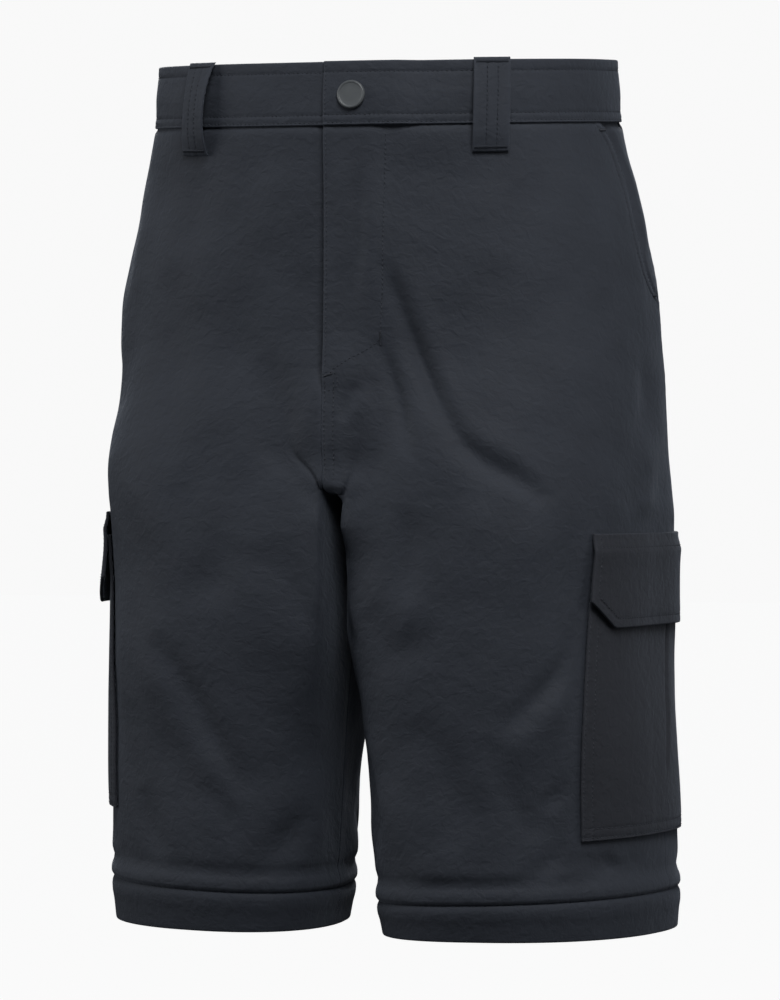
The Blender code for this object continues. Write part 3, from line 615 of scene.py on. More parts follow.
def woven(name, hex_colour, roughness=0.72, sheen=0.22, weave=0.05, mottle=0.12):
    """Plain-woven nylon: two sets of fine ribs crossed, uneven dye, worn lighter along its folded edges."""
    colour = linear(hex_colour)
    made, tree, shader = new_finish(name, colour)
    cloth = add(tree, "UVMap", uv_map="cloth").outputs["UV"]
    warp, weft = (
        add(tree, "TexWave", {"Vector": cloth}, {"Scale": WEAVE_SCALE, "Distortion": 0.6, "Detail": 1.0},
            bands_direction=direction).outputs["Fac"] for direction in ("X", "Y"))
    crossed = add(tree, "Math", {0: warp, 1: weft}, operation="MULTIPLY").outputs[0]
    # slubs: threads that are thicker for a few millimetres
    longer = add(tree, "Mapping", {"Vector": cloth}, {"Scale": (14.0, 60.0, 1.0)}).outputs[0]
    slubs, grain, clouds = (
        add(tree, "TexNoise", {"Vector": vector}, {"Scale": scale, "Detail": detail}).outputs["Fac"]
        for vector, scale, detail in ((longer, 1.0, 3.0), (cloth, 62.0, 2.0), (cloth, 2.6, 3.0)))
    speckle = add(tree, "Math", {0: slubs, 1: grain}, operation="ADD").outputs[0]
    tone = add(tree, "Math", {0: speckle, 1: clouds}, operation="ADD").outputs[0]
    tone = add(tree, "MapRange", {"Value": tone},
               {"From Min": 1.1, "From Max": 1.9, "To Min": 1.0 - mottle, "To Max": 1.0 + mottle}).outputs[0]
    worn = add(tree, "Attribute", attribute_name="edge").outputs["Fac"]
    lift = add(tree, "Math", {0: worn}, {1: 0.16}, operation="MULTIPLY").outputs[0]
    tone = add(tree, "Math", {0: tone, 1: lift}, operation="ADD").outputs[0]
    dye(tree, shader, colour, tone)
    heights = add(tree, "Math", {0: crossed}, {1: weave}, operation="MULTIPLY").outputs[0]
    slub_height = add(tree, "Math", {0: speckle}, {1: 0.10}, operation="MULTIPLY").outputs[0]
    heights = add(tree, "Math", {0: heights, 1: slub_height}, operation="ADD").outputs[0]
    fine = add(tree, "Bump", {"Height": heights}, {"Strength": 0.35, "Distance": MM * 2.0}).outputs[0]
    # crinkles that such cloth keeps from washing, a few millimetres wide
    crinkle = add(tree, "TexNoise", {"Vector": cloth}, {"Scale": 16.0, "Detail": 3.0, "Distortion": 0.6})
    bump = add(tree, "Bump", {"Height": crinkle.outputs["Fac"], "Normal": fine},
               {"Strength": 0.5, "Distance": MM * 1.6}).outputs[0]
    tree.links.new(shader.inputs["Normal"], bump)
    rough = add(tree, "MapRange", {"Value": speckle},
                {"From Min": 0.7, "From Max": 1.3, "To Min": roughness - 0.06, "To Max": roughness + 0.06})
    tree.links.new(shader.inputs["Roughness"], rough.outputs[0])
    shader.inputs["Specular IOR Level"].default_value = 0.22
    shader.inputs["Sheen Weight"].default_value = sheen
    shader.inputs["Sheen Roughness"].default_value = 0.45
    shader.inputs["Sheen Tint"].default_value = linear("aab4c4")
    return made


def knitted(name, hex_colour):
    """Warp-knitted polyester zip tape: narrow wales across the tape, with painted shade in the grooves between
    them.
    """
    made, tree, shader = new_finish(name, linear(hex_colour))
    cloth = add(tree, "UVMap", uv_map="cloth").outputs["UV"]
    wales = add(tree, "TexWave", {"Vector": cloth}, {"Scale": 40.0, "Distortion": 1.5}, bands_direction="Y")
    # The grooves between the wales are painted darker, by the same waves as the bump: painted shade
    wale_shade = add(tree, "Mix", {"Factor": wales.outputs["Fac"]}, data_type="RGBA")
    wale_shade.inputs["A"].default_value = linear("16181c")
    wale_shade.inputs["B"].default_value = linear(hex_colour)
    tree.links.new(shader.inputs["Base Color"], wale_shade.outputs["Result"])
    bump = add(tree, "Bump", {"Height": wales.outputs["Fac"]}, {"Strength": 0.5, "Distance": MM * 0.5})
    tree.links.new(shader.inputs["Normal"], bump.outputs[0])
    shader.inputs["Roughness"].default_value = 0.85
    return made


def spun(name, hex_colour, roughness):
    """Twisted polyester thread, or extruded coil: fine streaks along small round strands."""
    colour = linear(hex_colour)
    made, tree, shader = new_finish(name, colour)
    spot = add(tree, "TexCoord").outputs["Object"]
    streaks = add(tree, "TexNoise", {"Vector": spot}, {"Scale": 900.0, "Detail": 2.0}).outputs["Fac"]
    tone = add(tree, "MapRange", {"Value": streaks}, {"To Min": 0.75, "To Max": 1.25}).outputs[0]
    dye(tree, shader, colour, tone)
    shader.inputs["Roughness"].default_value = roughness
    shader.inputs["Specular IOR Level"].default_value = 0.35
    return made


def moulded(name, hex_colour):
    """Acetal cap, moulded with a fine spark-eroded grain, matt, its rim polished a little by use."""
    colour = linear(hex_colour)
    made, tree, shader = new_finish(name, colour)
    spot = add(tree, "TexCoord").outputs["Object"]
    grain = add(tree, "TexNoise", {"Vector": spot}, {"Scale": 2600.0, "Detail": 2.0}).outputs["Fac"]
    blotch = add(tree, "TexNoise", {"Vector": spot}, {"Scale": 180.0, "Detail": 3.0}).outputs["Fac"]
    tone = add(tree, "MapRange", {"Value": blotch}, {"To Min": 0.9, "To Max": 1.1}).outputs[0]
    dye(tree, shader, colour, tone)
    bump = add(tree, "Bump", {"Height": grain}, {"Strength": 0.25, "Distance": MM * 0.1})
    tree.links.new(shader.inputs["Normal"], bump.outputs[0])
    worn = add(tree, "Attribute", attribute_name="edge").outputs["Fac"]
    rough = add(tree, "MapRange", {"Value": worn}, {"To Min": 0.5, "To Max": 0.36}).outputs[0]
    tree.links.new(shader.inputs["Roughness"], rough)
    return made


# Finishes, in sRGB matched to the photo under this scene's light
SHELL = woven("shell_plain_woven_nylon", "33373f")
# The pockets and their flaps are the shell's nylon painted darker: painted shade of their sides, which face away
# from the light
POCKET = woven("pocket_nylon_painted_shade", "2e3036", roughness=0.76)
# The hem is the shell's nylon painted a little darker: painted shade of the light falling off towards the hem
HEM = woven("hem_folded_nylon_painted_shade", "2f333b", roughness=0.74)
TAPE = knitted("zip_tape_knitted_polyester", "24272d")
THREAD = spun("sewing_thread_polyester", "2c3038", 0.6)
COIL = spun("zip_coil_polyester", "15171b", 0.35)
CAP = moulded("snap_cap_acetal", "53575a")


def put(name, data):
    """Object in the scene, at the origin and untransformed."""
    made = bpy.data.objects.new(name, data)
    bpy.context.scene.collection.objects.link(made)
    return made


def build(name, points, faces, finish, uv=None, edge=None, smooth_angle=50.0):
    """Piece of one mesh from points in millimetres and a list of faces, which are turned outwards."""
    mesh = bpy.data.meshes.new(name)
    mesh.from_pydata((points * MM).tolist(), [], faces)
    work = bmesh.new()
    work.from_mesh(mesh)
    bmesh.ops.recalc_face_normals(work, faces=work.faces)
    work.to_mesh(mesh)
    work.free()
    if uv is not None:
        corners = np.zeros(len(mesh.loops), int)
        mesh.loops.foreach_get("vertex_index", corners)
        mesh.uv_layers.new(name="cloth").data.foreach_set("uv", (uv / UV_MILLIMETRES)[corners].ravel())
    if edge is not None:
        mesh.attributes.new("edge", "FLOAT", "POINT").data.foreach_set("value", edge.astype(np.float32))
    mesh.shade_smooth()
    mesh.set_sharp_from_angle(angle=np.radians(smooth_angle))
    mesh.materials.append(finish)
    piece = put(name, mesh)
    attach(piece, "root")
    return piece


def cells(grid):
    """Four-sided faces between the neighbouring points of a grid of their numbers."""
    return np.stack([grid[:-1, :-1], grid[:-1, 1:], grid[1:, 1:], grid[1:, :-1]], axis=-1).reshape(-1, 4)


def rounded(distance, radius):
    """How far a face drops towards a folded edge: a quarter circle over the last radius of cloth."""
    short = np.clip(radius - distance, 0.0, radius)
    return radius - np.sqrt(radius**2 - short**2)


def cloth(name, side, level, behind, out, free, wall, finish, along, node, slot, closed=False, centre=False):
    """Closed cloth through a grid of places: an outer and an inner face, joined round their rims.

    Both faces are rounded off towards the free edges, by how far each place is from one. A cloth with a centre
    doesn't cross the middle plane, but for the part that laps over it.
    """
    drop = rounded(free, wall * ROUND_SHARE)
    grids = [place(level, behind, out + offset, side) for offset in (-drop, drop - wall)]
    if centre:
        for grid in grids:
            own = side * grid[..., 0]
            crossed = behind < front_at(level) - 0.01
            grid[..., 0] = side * np.where(crossed, own, np.maximum(own, 0.0))
    shape = grids[0].shape[:2]
    outer = np.arange(shape[0] * shape[1]).reshape(shape)
    inner = outer + outer.size
    if closed:
        outer, inner = (np.concatenate([index, index[:, :1]], axis=1) for index in (outer, inner))
    rims = [(outer[0], inner[0]), (outer[-1], inner[-1])]
    if not closed:
        rims += [(outer[:, 0], inner[:, 0]), (outer[:, -1], inner[:, -1])]
    faces = np.concatenate([cells(outer), cells(inner)] + [cells(np.stack(rim)) for rim in rims])
    uv = np.stack([np.broadcast_to(each, shape).ravel() for each in (along, level)], axis=1)
    edge = np.broadcast_to(bell(free, WORN_WIDTH), shape).ravel()
    points = np.concatenate([grid.reshape(-1, 3) for grid in grids])
    piece = build(name, points, faces.tolist(), finish, np.tile(uv, (2, 1)), np.tile(edge, 2))
    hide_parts(node)
    return piece


def shell(name, side, level, behind, out, wall, finish, node, slot, closed=False, centre=False):
    """Cloth whose grid ends at its free edges."""
    level, behind, out = np.broadcast_arrays(*(np.asarray(v, float) for v in (level, behind, out)))
    ends = [level[:1] - level, level - level[-1:]]
    if not closed:
        ends += [behind - behind[:, :1], behind[:, -1:] - behind]
    free = np.abs(np.array(ends)).min(axis=0)
    piece = cloth(name, side, level, behind, out, free, wall, finish, behind, node, slot, closed, centre)


# Where the columns of a panel bend beside the inner seam, and how many there are up to the bend
KNEE_PATH = 0.06
KNEE_COLUMNS = 9


def between(first, last, near_first, near_last, front_knee=None, back_knee=None):
    """Rows of places from first to last: fixed distances from both ends, even steps in between.

    A knee is a distance that the columns bend at beside the inner seam, whose distance jumps at the crotch.
    """
    start = first[:, None] + np.array(near_first)
    end = last[:, None] - np.array(near_last)[::-1]
    share = np.linspace(0.0, 1.0, KNEE_COLUMNS + 1)
    if front_knee is not None:
        start = np.concatenate([start, start[:, -1:] + (front_knee[:, None] - start[:, -1:]) * share[1:]], axis=1)
    if back_knee is not None:
        end = np.concatenate([back_knee[:, None] + (end[:, :1] - back_knee[:, None]) * share[:-1], end], axis=1)
    count = int(np.ceil((end[:, 0] - start[:, -1]).max() / STEP))
    share = np.linspace(0.0, 1.0, count + 1)[None, 1:-1]
    middle = start[:, -1:] + (end[:, :1] - start[:, -1:]) * share
    return np.concatenate([start, middle, end], axis=1)


# Distances from a panel's edge at which its columns stand, closest at the edge and at the rows of stitches
STITCHED_EDGE = (0.0, 0.3, 0.7, 1.2, 1.8, 2.4, 3.4, 5.0, 6.6, 7.6, 8.3, 9.0, 10.2, 12.0)
PLAIN_EDGE = (0.0, 0.3, 0.7, 1.3, 2.2, 3.6, 5.4)


def panel_levels():
    """Levels of a panel: even ones, closer where the rise turns under and over the lip of the hem."""
    torso = np.arange(BAND_SEAM - 3.0, CROTCH + RISE_CLOSE[0] + 1.5, -STEP)
    rise = CROTCH + RISE_CLOSE
    leg = np.arange(CROTCH + RISE_CLOSE[-1] - STEP, LIP_TOP + 2.0, -STEP)
    lip = np.linspace(LIP_TOP, LEG_SEAM, 15)
    top = BAND_SEAM + 0.8 - np.array((0.0, 0.4, 0.9, 1.5, 2.4))
    return np.concatenate([top, torso, rise, leg, lip])


def lip_height(level):
    """The leg cloth dips, rolls out over the hem seam and is drawn in at the seam itself."""
    rise = smooth(LIP_TOP - level, -LIP_ROUND, LIP_STEP)
    roll = LIP_PROUD * rise * (0.15 + 0.85 * smooth(level, LEG_SEAM, LEG_SEAM + LIP_ROUND))
    return roll - LIP_DIP * bell(level - LIP_TOP - LIP_ROUND, 1.4 * LIP_ROUND)


def side_seam(level):
    """Distance of the side seam behind the outermost point."""
    return column("seam", level)


def slash_edge(level):
    """Distance of the front panel's edge: along the slash opening, and the side seam below it."""
    return np.minimum(np.interp(-level, -SLASH[:, 0], SLASH[:, 1], right=1e3), side_seam(level))


def puckers(distance, along, seed):
    """Short ripples across a sewn edge, uneven in height, that die out within a centimetre."""
    draw = np.random.default_rng(seed)
    phase, slow = draw.uniform(0.0, 6.28, 2)
    strength = 0.5 + 0.5 * np.sin(2 * np.pi * along / 61.0 + slow) * np.sin(2 * np.pi * along / 37.0 + phase)
    ripple = np.sin(2 * np.pi * along / PUCKER_LENGTH + phase + 0.8 * np.sin(along / 11.0))
    return PUCKER_HEIGHT * strength * ripple * np.exp(-distance / 5.0) * smooth(distance, 0.0, 2.0)


def welt(distance, width, height):
    """Raised band of turned-in cloth from an edge to its stitching."""
    return height * (1.0 - smooth(distance, width - 0.6, width + 1.4))


def trough(distance, rows, depth=0.35):
    """Grooves that rows of stitches pull into the cloth."""
    return -depth * sum(bell(distance - row, 0.9) for row in rows)


def fly_height(side, behind, level):
    """The left front rises over the right one's lap; beside it the right front dips into the fly's shade."""
    from_front = behind - front_at(level)
    down = 1.0 - smooth(-level, -FLY_END, -FLY_FADE)
    if side > 0:
        lifted = FLY_RAISE * (1.0 - smooth(from_front, FLY_FLAT, FLY_STITCH))
        return (lifted + FLY_EDGE_LIFT * (1.0 - smooth(from_front, 0.0, FLY_EDGE_WIDTH))) * down
    shade = smooth(-level, *FLY_SHADE_FROM) * down
    gap = FLY_GAP_DEPTH * bell(from_front, FLY_GAP_WIDTH) * down
    return -gap - FLY_SHADE_DEPTH * bell(from_front - 1.0, FLY_SHADE_WIDTH) * shade


def fly_curve(level):
    """Distance of the fly's curved stitching from the centre front."""
    return np.interp(-level, FLY_CURVE[:, 0], FLY_CURVE[:, 1])


def front_out(side, level, behind):
    """Height of a front: the hem's lip, the fly, and the welts, grooves and puckers of its sewn edges."""
    from_front = behind - front_at(level)
    to_slash = slash_edge(level) - behind
    above_fly_end = smooth(level, FLY_END - 6.0, FLY_END)
    on_slash = smooth(level, SLASH_FOOT - 6.0, SLASH_FOOT)
    out = lip_height(level) + fly_height(side, behind, level)
    out = out + (welt(to_slash, SLASH_ROWS[1], 0.45) + trough(to_slash, SLASH_ROWS)) * on_slash
    below_fly = (1.0 - above_fly_end) * smooth(level, CROTCH, CROTCH + 20.0)
    if side > 0:
        out = out + trough(from_front, RISE_ROWS[:1]) * above_fly_end
        out = out + (welt(from_front, RISE_ROWS[1], 0.5) + trough(from_front, RISE_ROWS)) * below_fly
    out = out + puckers(from_front, level, 3 + int(side)) + puckers(to_slash, level, 8 + int(side))
    return out + dip_under_band(level)


def back_out(side, level, behind):
    """Height of a back: the hem's lip, puckers along both seams and the welt of the seat seam on the left."""
    from_seam, to_back = behind - side_seam(level), back_at(level) - behind
    seat = smooth(level, CROTCH, CROTCH + 20.0)
    out = lip_height(level) + puckers(from_seam, level, 21 + int(side)) + puckers(to_back, level, 27 + int(side))
    if side > 0:
        out = out + (welt(to_back, RISE_ROWS[1], 0.5) + trough(to_back, RISE_ROWS)) * seat
    return out + dip_under_band(level)


def dip_under_band(level):
    """The panels' tops are drawn in where the waistband is sewn on over them."""
    return -PANEL_DIP * smooth(level, BAND_SEAM - 4.0, BAND_SEAM)


def front_panel(name, side):
    """Front from the centre to the slash opening and the side seam; the right one laps on under the left."""
    level = panel_levels()
    first = front_at(level)
    if side < 0:
        lap = FLY_LAP * (1.0 - smooth(-level, -LAP_TAPER, -RISE_TOP))
        first = np.where(level > RISE_TOP, first - lap, first)
    knee = behind_at(level, KNEE_PATH)
    behind = between(first, slash_edge(level), STITCHED_EDGE, STITCHED_EDGE, front_knee=knee)
    level = level[:, None]
    seen = np.maximum(behind, front_at(level))
    out = front_out(side, level, seen)
    shell("front_cloth_" + name, side, level, behind, out, SHELL_WALL, SHELL, "front_" + name, "shell_cloth",
          centre=True)


def back_panel(name, side):
    """Back from the side seam to the centre back."""
    level = panel_levels()
    knee = behind_at(level, 1.0 - KNEE_PATH)
    behind = between(side_seam(level), back_at(level), PLAIN_EDGE, STITCHED_EDGE, back_knee=knee)
    level = level[:, None]
    shell("back_cloth_" + name, side, level, behind, back_out(side, level, behind), SHELL_WALL, SHELL,
          "back_" + name, "shell_cloth", centre=True)


def pocket_facing(name, side):
    """Cloth behind the slash opening: under the front panel, level with it at the side seam.

    Its top goes up behind the waistband, so that no light shows between the two.
    """
    top = FACING_TOP - np.array((0.0, 0.8, 1.8, 3.0, 4.4))
    level = np.concatenate([top, np.arange(BAND_SEAM - 0.5, FACING_END, -STEP)])
    last = side_seam(level)
    behind = between(np.minimum(slash_edge(level), last) - FACING_UNDER, last, PLAIN_EDGE, PLAIN_EDGE)
    level = level[:, None]
    past_edge = behind - slash_edge(level)
    closing = smooth(-level, *FACING_DEEP)
    under = 1.0 - smooth(past_edge / (1.0 - FACING_CLOSING * closing), *FACING_RISE)
    depth = FACING_DEPTH - FACING_CLOSER * closing
    out = -depth * under - 0.1 + dip_under_band(level)
    seated = smooth(level, BAND_SEAM - 6.0, BAND_SEAM)
    out = out + (FACING_SEAT - out) * seated
    shell("pocket_facing_cloth_" + name, side, level, behind, out, SHELL_WALL, SHELL, "pocket_facing_" + name,
          "pocket_cloth")


def band_out(level, distance, left):
    """Height of the waistband: puffed between its rows of stitches, raised at its upper end over the lower."""
    rows = (BAND_TOP_ROW, *BAND_FOOT_ROWS)
    puff = BAND_PUFF * smooth(level, BAND_FOOT_ROWS[1], 0.0) * smooth(-level, -BAND_TOP_ROW, 0.0)
    grooves = trough(level, rows, 0.4)
    raised = np.where(left, 1.0 - smooth(distance, BAND_FLAT, BAND_BLEND), 0.0)
    soft = 0.25 * np.sin(distance / 17.0 + 1.0) * np.sin(distance / 41.0 + np.where(left, 0.0, 2.0))
    ripple = 0.12 * np.sin(2 * np.pi * distance / 6.5 + level / 3.0) * smooth(BAND_SEAM + 9.0 - level, 0.0, 6.0)
    return BAND_PROUD + BAND_RAISE * raised + puff + grooves + soft * smooth(level, -8.0, 6.0) + ripple


def waistband(name):
    """One strip: from the left end at the centre front round the body, and on under its own beginning.

    Its rows of points are closest at its edges and at its stitches.
    """
    rows = (0.0, 0.3, 0.7, 1.2, 1.8, 2.6, 3.8, 5.0, 6.0, 6.6, 7.0, 7.4, 8.0, 9.2)
    foot = (0.0, 0.3, 0.7, 1.2, 1.8, 2.4, 3.4, 4.6, 5.6, 6.1, 6.5, 6.9, 7.8, 9.0)
    middle = np.linspace(BAND_TOP - 11.0, BAND_SEAM + 11.0, 9)
    level = np.concatenate([BAND_TOP - np.array(rows), middle, BAND_SEAM + np.array(foot)[::-1]])[:, None]
    half = float(back_at(0.0) - front_at(0.0))
    ends = np.array((0.0, 0.3, 0.7, 1.3, 2.2))
    going = np.concatenate([ends, np.arange(4.0, half, STEP)])
    coming = half - np.arange(0.0, half, STEP)
    lap = np.concatenate([np.arange(0.0, BAND_LAP - 2.5, STEP), BAND_LAP - ends[::-1]])
    distance = np.concatenate([going, coming, lap])
    left = np.concatenate([np.ones(len(going)), np.zeros(len(coming)), np.ones(len(lap))])
    upper = np.arange(len(distance)) < len(going)
    out = band_out(level, distance, upper & (left > 0))
    lower = np.arange(len(distance)) >= len(going) + len(coming)
    out = np.where(lower | (~upper & (distance < BAND_LAP)), np.minimum(out, BAND_PROUD), out)
    strip = np.concatenate([going, 2 * half - coming, 2 * half + lap])
    behind = front_at(level) + (back_at(level) - front_at(level)) * (distance / half)
    free = np.minimum(np.minimum(level[:1] - level, level - level[-1:]),
                      np.minimum(strip - strip[0], strip[-1] - strip))
    side = np.where(left > 0, 1.0, -1.0)
    piece = cloth(name, side, level, behind, out, free, BAND_WALL, SHELL, strip, "waistband", "shell_cloth")


def loop_places(start, level, across, lean):
    """Distance behind the outermost point, and half, of a distance from the centre front or centre back.

    The lean is how far the loop's foot lies off from its top.
    """
    across = across + lean * (LOOP_TOP - level) / (LOOP_TOP - LOOP_FOOT)
    if start == "front":
        return front_at(level) + across, np.ones(across.shape)
    return back_at(level) - np.abs(across), np.where(across < 0.0, -1.0, 1.0)


def loop_out(level, across, twist):
    """Bow of a belt loop between its sewn ends, its inner edge standing off further by the twist."""
    share = np.clip((LOOP_TOP - level) / (LOOP_TOP - LOOP_FOOT), 0.0, 1.0)
    seat = LOOP_SEAT + (BAND_PROUD + LAYER_GAP - LOOP_SEAT) * smooth(level, LOOP_FOOT, BAND_SEAM - LOOP_STEP)
    bow = np.sin(np.pi * share) ** LOOP_BOW_POWER
    turned = twist * bow * (LOOP_WIDTH / 2 - across) / LOOP_WIDTH
    return seat + LOOP_BOW * bow + turned + LOOP_WALL


def belt_loop(name, side, start, distance, twist, lean):
    """Strip folded double, with two rows of stitches down it and a bartack at each end."""
    rim = np.array((0.0, 0.3, 0.7, 1.2, 2.0))
    level = np.concatenate([LOOP_TOP - rim, np.linspace(LOOP_TOP - 3.6, LOOP_FOOT + 3.6, 26),
                            LOOP_FOOT + rim[::-1]])[:, None]
    half = LOOP_WIDTH / 2
    rows = [row + beside for row in LOOP_ROWS_OF_STITCHES for beside in (-1.2, -0.6, 0.0, 0.6, 1.2)]
    across = np.unique(np.concatenate([-half + rim, rows, half - rim, (-8.0, -6.0, 0.1, 6.5, 8.5)]))
    out = loop_out(level, across, twist) + trough(across, LOOP_ROWS_OF_STITCHES, 0.3)
    behind, own = loop_places(start, level, distance + across, lean)
    free = np.minimum(np.minimum(LOOP_TOP - level, level - LOOP_FOOT), half - np.abs(across))
    piece = cloth("belt_loop_cloth_" + name, side * own, level, behind, out, free, LOOP_WALL, SHELL,
                  distance + across, "belt_loop_" + name, "shell_cloth")
    for row in LOOP_ROWS_OF_STITCHES:
        levels = np.linspace(LOOP_TOP - 2.0, LOOP_FOOT + 2.0, 40)
        behind, own = loop_places(start, levels, distance + np.full(40, row), lean)
        sew("sewing_belt_loops", side * own, levels, behind, loop_out(levels, row, twist) - 0.2)
    for level_row in (LOOP_TOP - 3.0, LOOP_FOOT + 3.0):
        spots = np.linspace(-half + 1.5, half - 1.5, 24)
        levels = np.full(24, level_row)
        behind, own = loop_places(start, levels, distance + spots, lean)
        bartack("sewing_belt_loops", side * own, levels, behind, loop_out(levels, spots, twist), 2.0)


def swell(level):
    """0 at the pocket's top, where it is sewn flat, rising to 1 at the flap's foot."""
    return smooth(-level, -POCKET_TOP, -POCKET_FLAP_FOOT)


def pocket_out(level, behind):
    """Patch flat at its edges and puffed between them, with a pleat down its middle."""
    middle = side_seam(level) - PLEAT_AHEAD
    across = np.where(behind < middle, (middle - behind) / (middle - POCKET_FRONT),
                      (behind - middle) / (POCKET_BACK - middle))
    share = np.clip((POCKET_TOP - level) / (POCKET_TOP - POCKET_FOOT), 0.0, 1.0)
    puff = POCKET_PUFF * (1.0 - np.clip(across, 0.0, 1.0) ** 3) * (1.0 - share**4) * swell(level)
    pleated = swell(level) * smooth(level, PLEAT_FOOT, PLEAT_FOOT + 20.0)
    groove = PLEAT_DEPTH * bell(behind - middle, PLEAT_HALF) * pleated
    step = 0.5 * smooth(behind - middle, -0.5, 1.5) * (1.0 - smooth(behind - middle, 1.5, 26.0)) * pleated
    beside = np.minimum(behind - POCKET_FRONT, POCKET_BACK - behind)
    foot = level - POCKET_FOOT
    sewn = trough(beside, POCKET_ROWS) + trough(foot, (POCKET_ROWS[0], POCKET_HEM)) + puckers(beside, level, 41)
    return POCKET_GAP + SHELL_WALL + puff - groove + step + sewn


def cargo_pocket(name, side):
    """Bag over the side seam, open at its top, with two rows of stitches round it."""
    lift = RIGHT_POCKET_LIFT if side < 0 else 0.0
    top = POCKET_TOP - np.array((0.0, 0.3, 0.7, 1.3))
    foot = POCKET_FOOT + np.array(STITCHED_EDGE)[::-1]
    level = np.concatenate([top, np.arange(POCKET_TOP - 3.0, POCKET_FOOT + 13.0, -STEP), foot])
    middle = side_seam(level) - PLEAT_AHEAD
    pleat = np.array((-4.0, -2.6, -1.8, -1.2, -0.6, 0.0, 0.6, 1.2, 1.8, 2.6, 4.0))
    ahead = between(np.full(level.shape, POCKET_FRONT), middle - 5.0, STITCHED_EDGE, (0.0,))
    after = between(middle + 5.0, np.full(level.shape, POCKET_BACK), (0.0,), STITCHED_EDGE)
    behind = np.concatenate([ahead, middle[:, None] + pleat, after], axis=1)
    level = level[:, None]
    out = pocket_out(level, behind)
    shell("cargo_pocket_cloth_" + name, side, level + lift, behind, out, SHELL_WALL, POCKET,
          "cargo_pocket_" + name, "pocket_cloth")
    levels = np.linspace(POCKET_FLAP_FOOT + 14.0, POCKET_FOOT + POCKET_ROWS[0], 80)
    for inset in POCKET_ROWS:
        for place_of in (POCKET_FRONT + inset, POCKET_BACK - inset):
            row = np.full(80, place_of)
            sew("sewing_cargo_pockets", side, levels + lift, row, pocket_out(levels, row))
    across = np.linspace(POCKET_FRONT + POCKET_ROWS[0], POCKET_BACK - POCKET_ROWS[0], 120)
    for inset in (POCKET_ROWS[0], POCKET_HEM):
        row = np.full(120, POCKET_FOOT + inset)
        sew("sewing_cargo_pockets", side, row + lift, across, pocket_out(row, across))


FLAP_FRONT = POCKET_FRONT - POCKET_FLAP_OVERLAP
FLAP_BACK = POCKET_BACK + POCKET_FLAP_OVERLAP


def flap_clip(across):
    """How much of the flap's foot is clipped off at a distance from its nearer end."""
    from_end = np.minimum(across - FLAP_FRONT, FLAP_BACK - across)
    return CHAMFER_HEIGHT * np.clip(1.0 - from_end / CHAMFER_WIDTH, 0.0, 1.0)


def flap_out(side, level, across):
    """The flap rises over the pocket's mouth and stands off it towards its foot; band and edge are stitched."""
    over_mouth = (SHELL_WALL + POCKET_GAP) * smooth(POCKET_FLAP_TOP - level, *MOUTH_RISE)
    foot = level - POCKET_FLAP_FOOT - flap_clip(across)
    ends = np.minimum(across - FLAP_FRONT, FLAP_BACK - across)
    rows = trough(POCKET_FLAP_TOP - level, (FLAP_BAND,)) + trough(np.minimum(foot, ends), (FLAP_INSET,))
    wave = 0.5 * np.sin(across / 23.0 + side) * smooth(POCKET_FLAP_TOP - level, 14.0, 50.0)
    return LAYER_GAP + FLAP_WALL + over_mouth + POCKET_FLAP_STAND[side] * swell(level) + rows + wave


def cargo_flap(name, side):
    """Flap with clipped corners; its foot follows them, and its stitches run inside its edge and below its top."""
    lift = RIGHT_POCKET_LIFT if side < 0 else 0.0
    front, back = FLAP_FRONT, FLAP_BACK
    rim = np.array((0.0, 0.3, 0.7, 1.2, 2.2, 3.8, 5.2, 6.0, 6.8, 8.2))
    across = np.concatenate([front + rim, np.arange(front + 10.0, back - 9.0, STEP), back - rim[::-1]])
    upper = POCKET_FLAP_TOP - np.array((0.0, 0.3, 0.7, 1.3, 3.0, 5.0, 7.0, 7.8, 8.5, 9.2, 10.4))
    lower = POCKET_FLAP_FOOT + flap_clip(across) + rim[::-1][:, None]
    start = POCKET_FLAP_TOP - 12.0
    middle = start + (lower[:1] - start) * np.linspace(0.0, 1.0, 14)[:-1, None]
    level = np.concatenate([np.broadcast_to(upper[:, None], (len(upper), len(across))), middle, lower])
    shell("cargo_flap_cloth_" + name, side, level + lift, across, flap_out(side, level, across), FLAP_WALL,
          POCKET, "cargo_flap_" + name, "pocket_cloth")
    row = np.linspace(front + 1.5, back - 1.5, 100)
    levels = np.full(100, POCKET_FLAP_TOP - FLAP_BAND)
    sew("sewing_cargo_flaps", side, levels + lift, row, flap_out(side, levels, row))
    slope = FLAP_INSET * 0.45
    corner_level = POCKET_FLAP_FOOT + CHAMFER_HEIGHT + slope
    foot_level = POCKET_FLAP_FOOT + FLAP_INSET
    outline = np.array((
        (front + FLAP_INSET, POCKET_FLAP_TOP - 1.5), (front + FLAP_INSET, corner_level),
        (front + CHAMFER_WIDTH + slope, foot_level), (back - CHAMFER_WIDTH - slope, foot_level),
        (back - FLAP_INSET, corner_level), (back - FLAP_INSET, POCKET_FLAP_TOP - 1.5)))
    reach = reach_along(outline)
    row, levels = read_at(np.linspace(0.0, reach[-1], 160), reach, outline).T
    sew("sewing_cargo_flaps", side, levels + lift, row, flap_out(side, levels, row))


def hang(share, side):
    """How much lower the hem's edge hangs, at a share of the way round the leg."""
    return HEM_DROP[side] + HEM_OUTER_DROP * np.sin(np.pi * share) ** 2


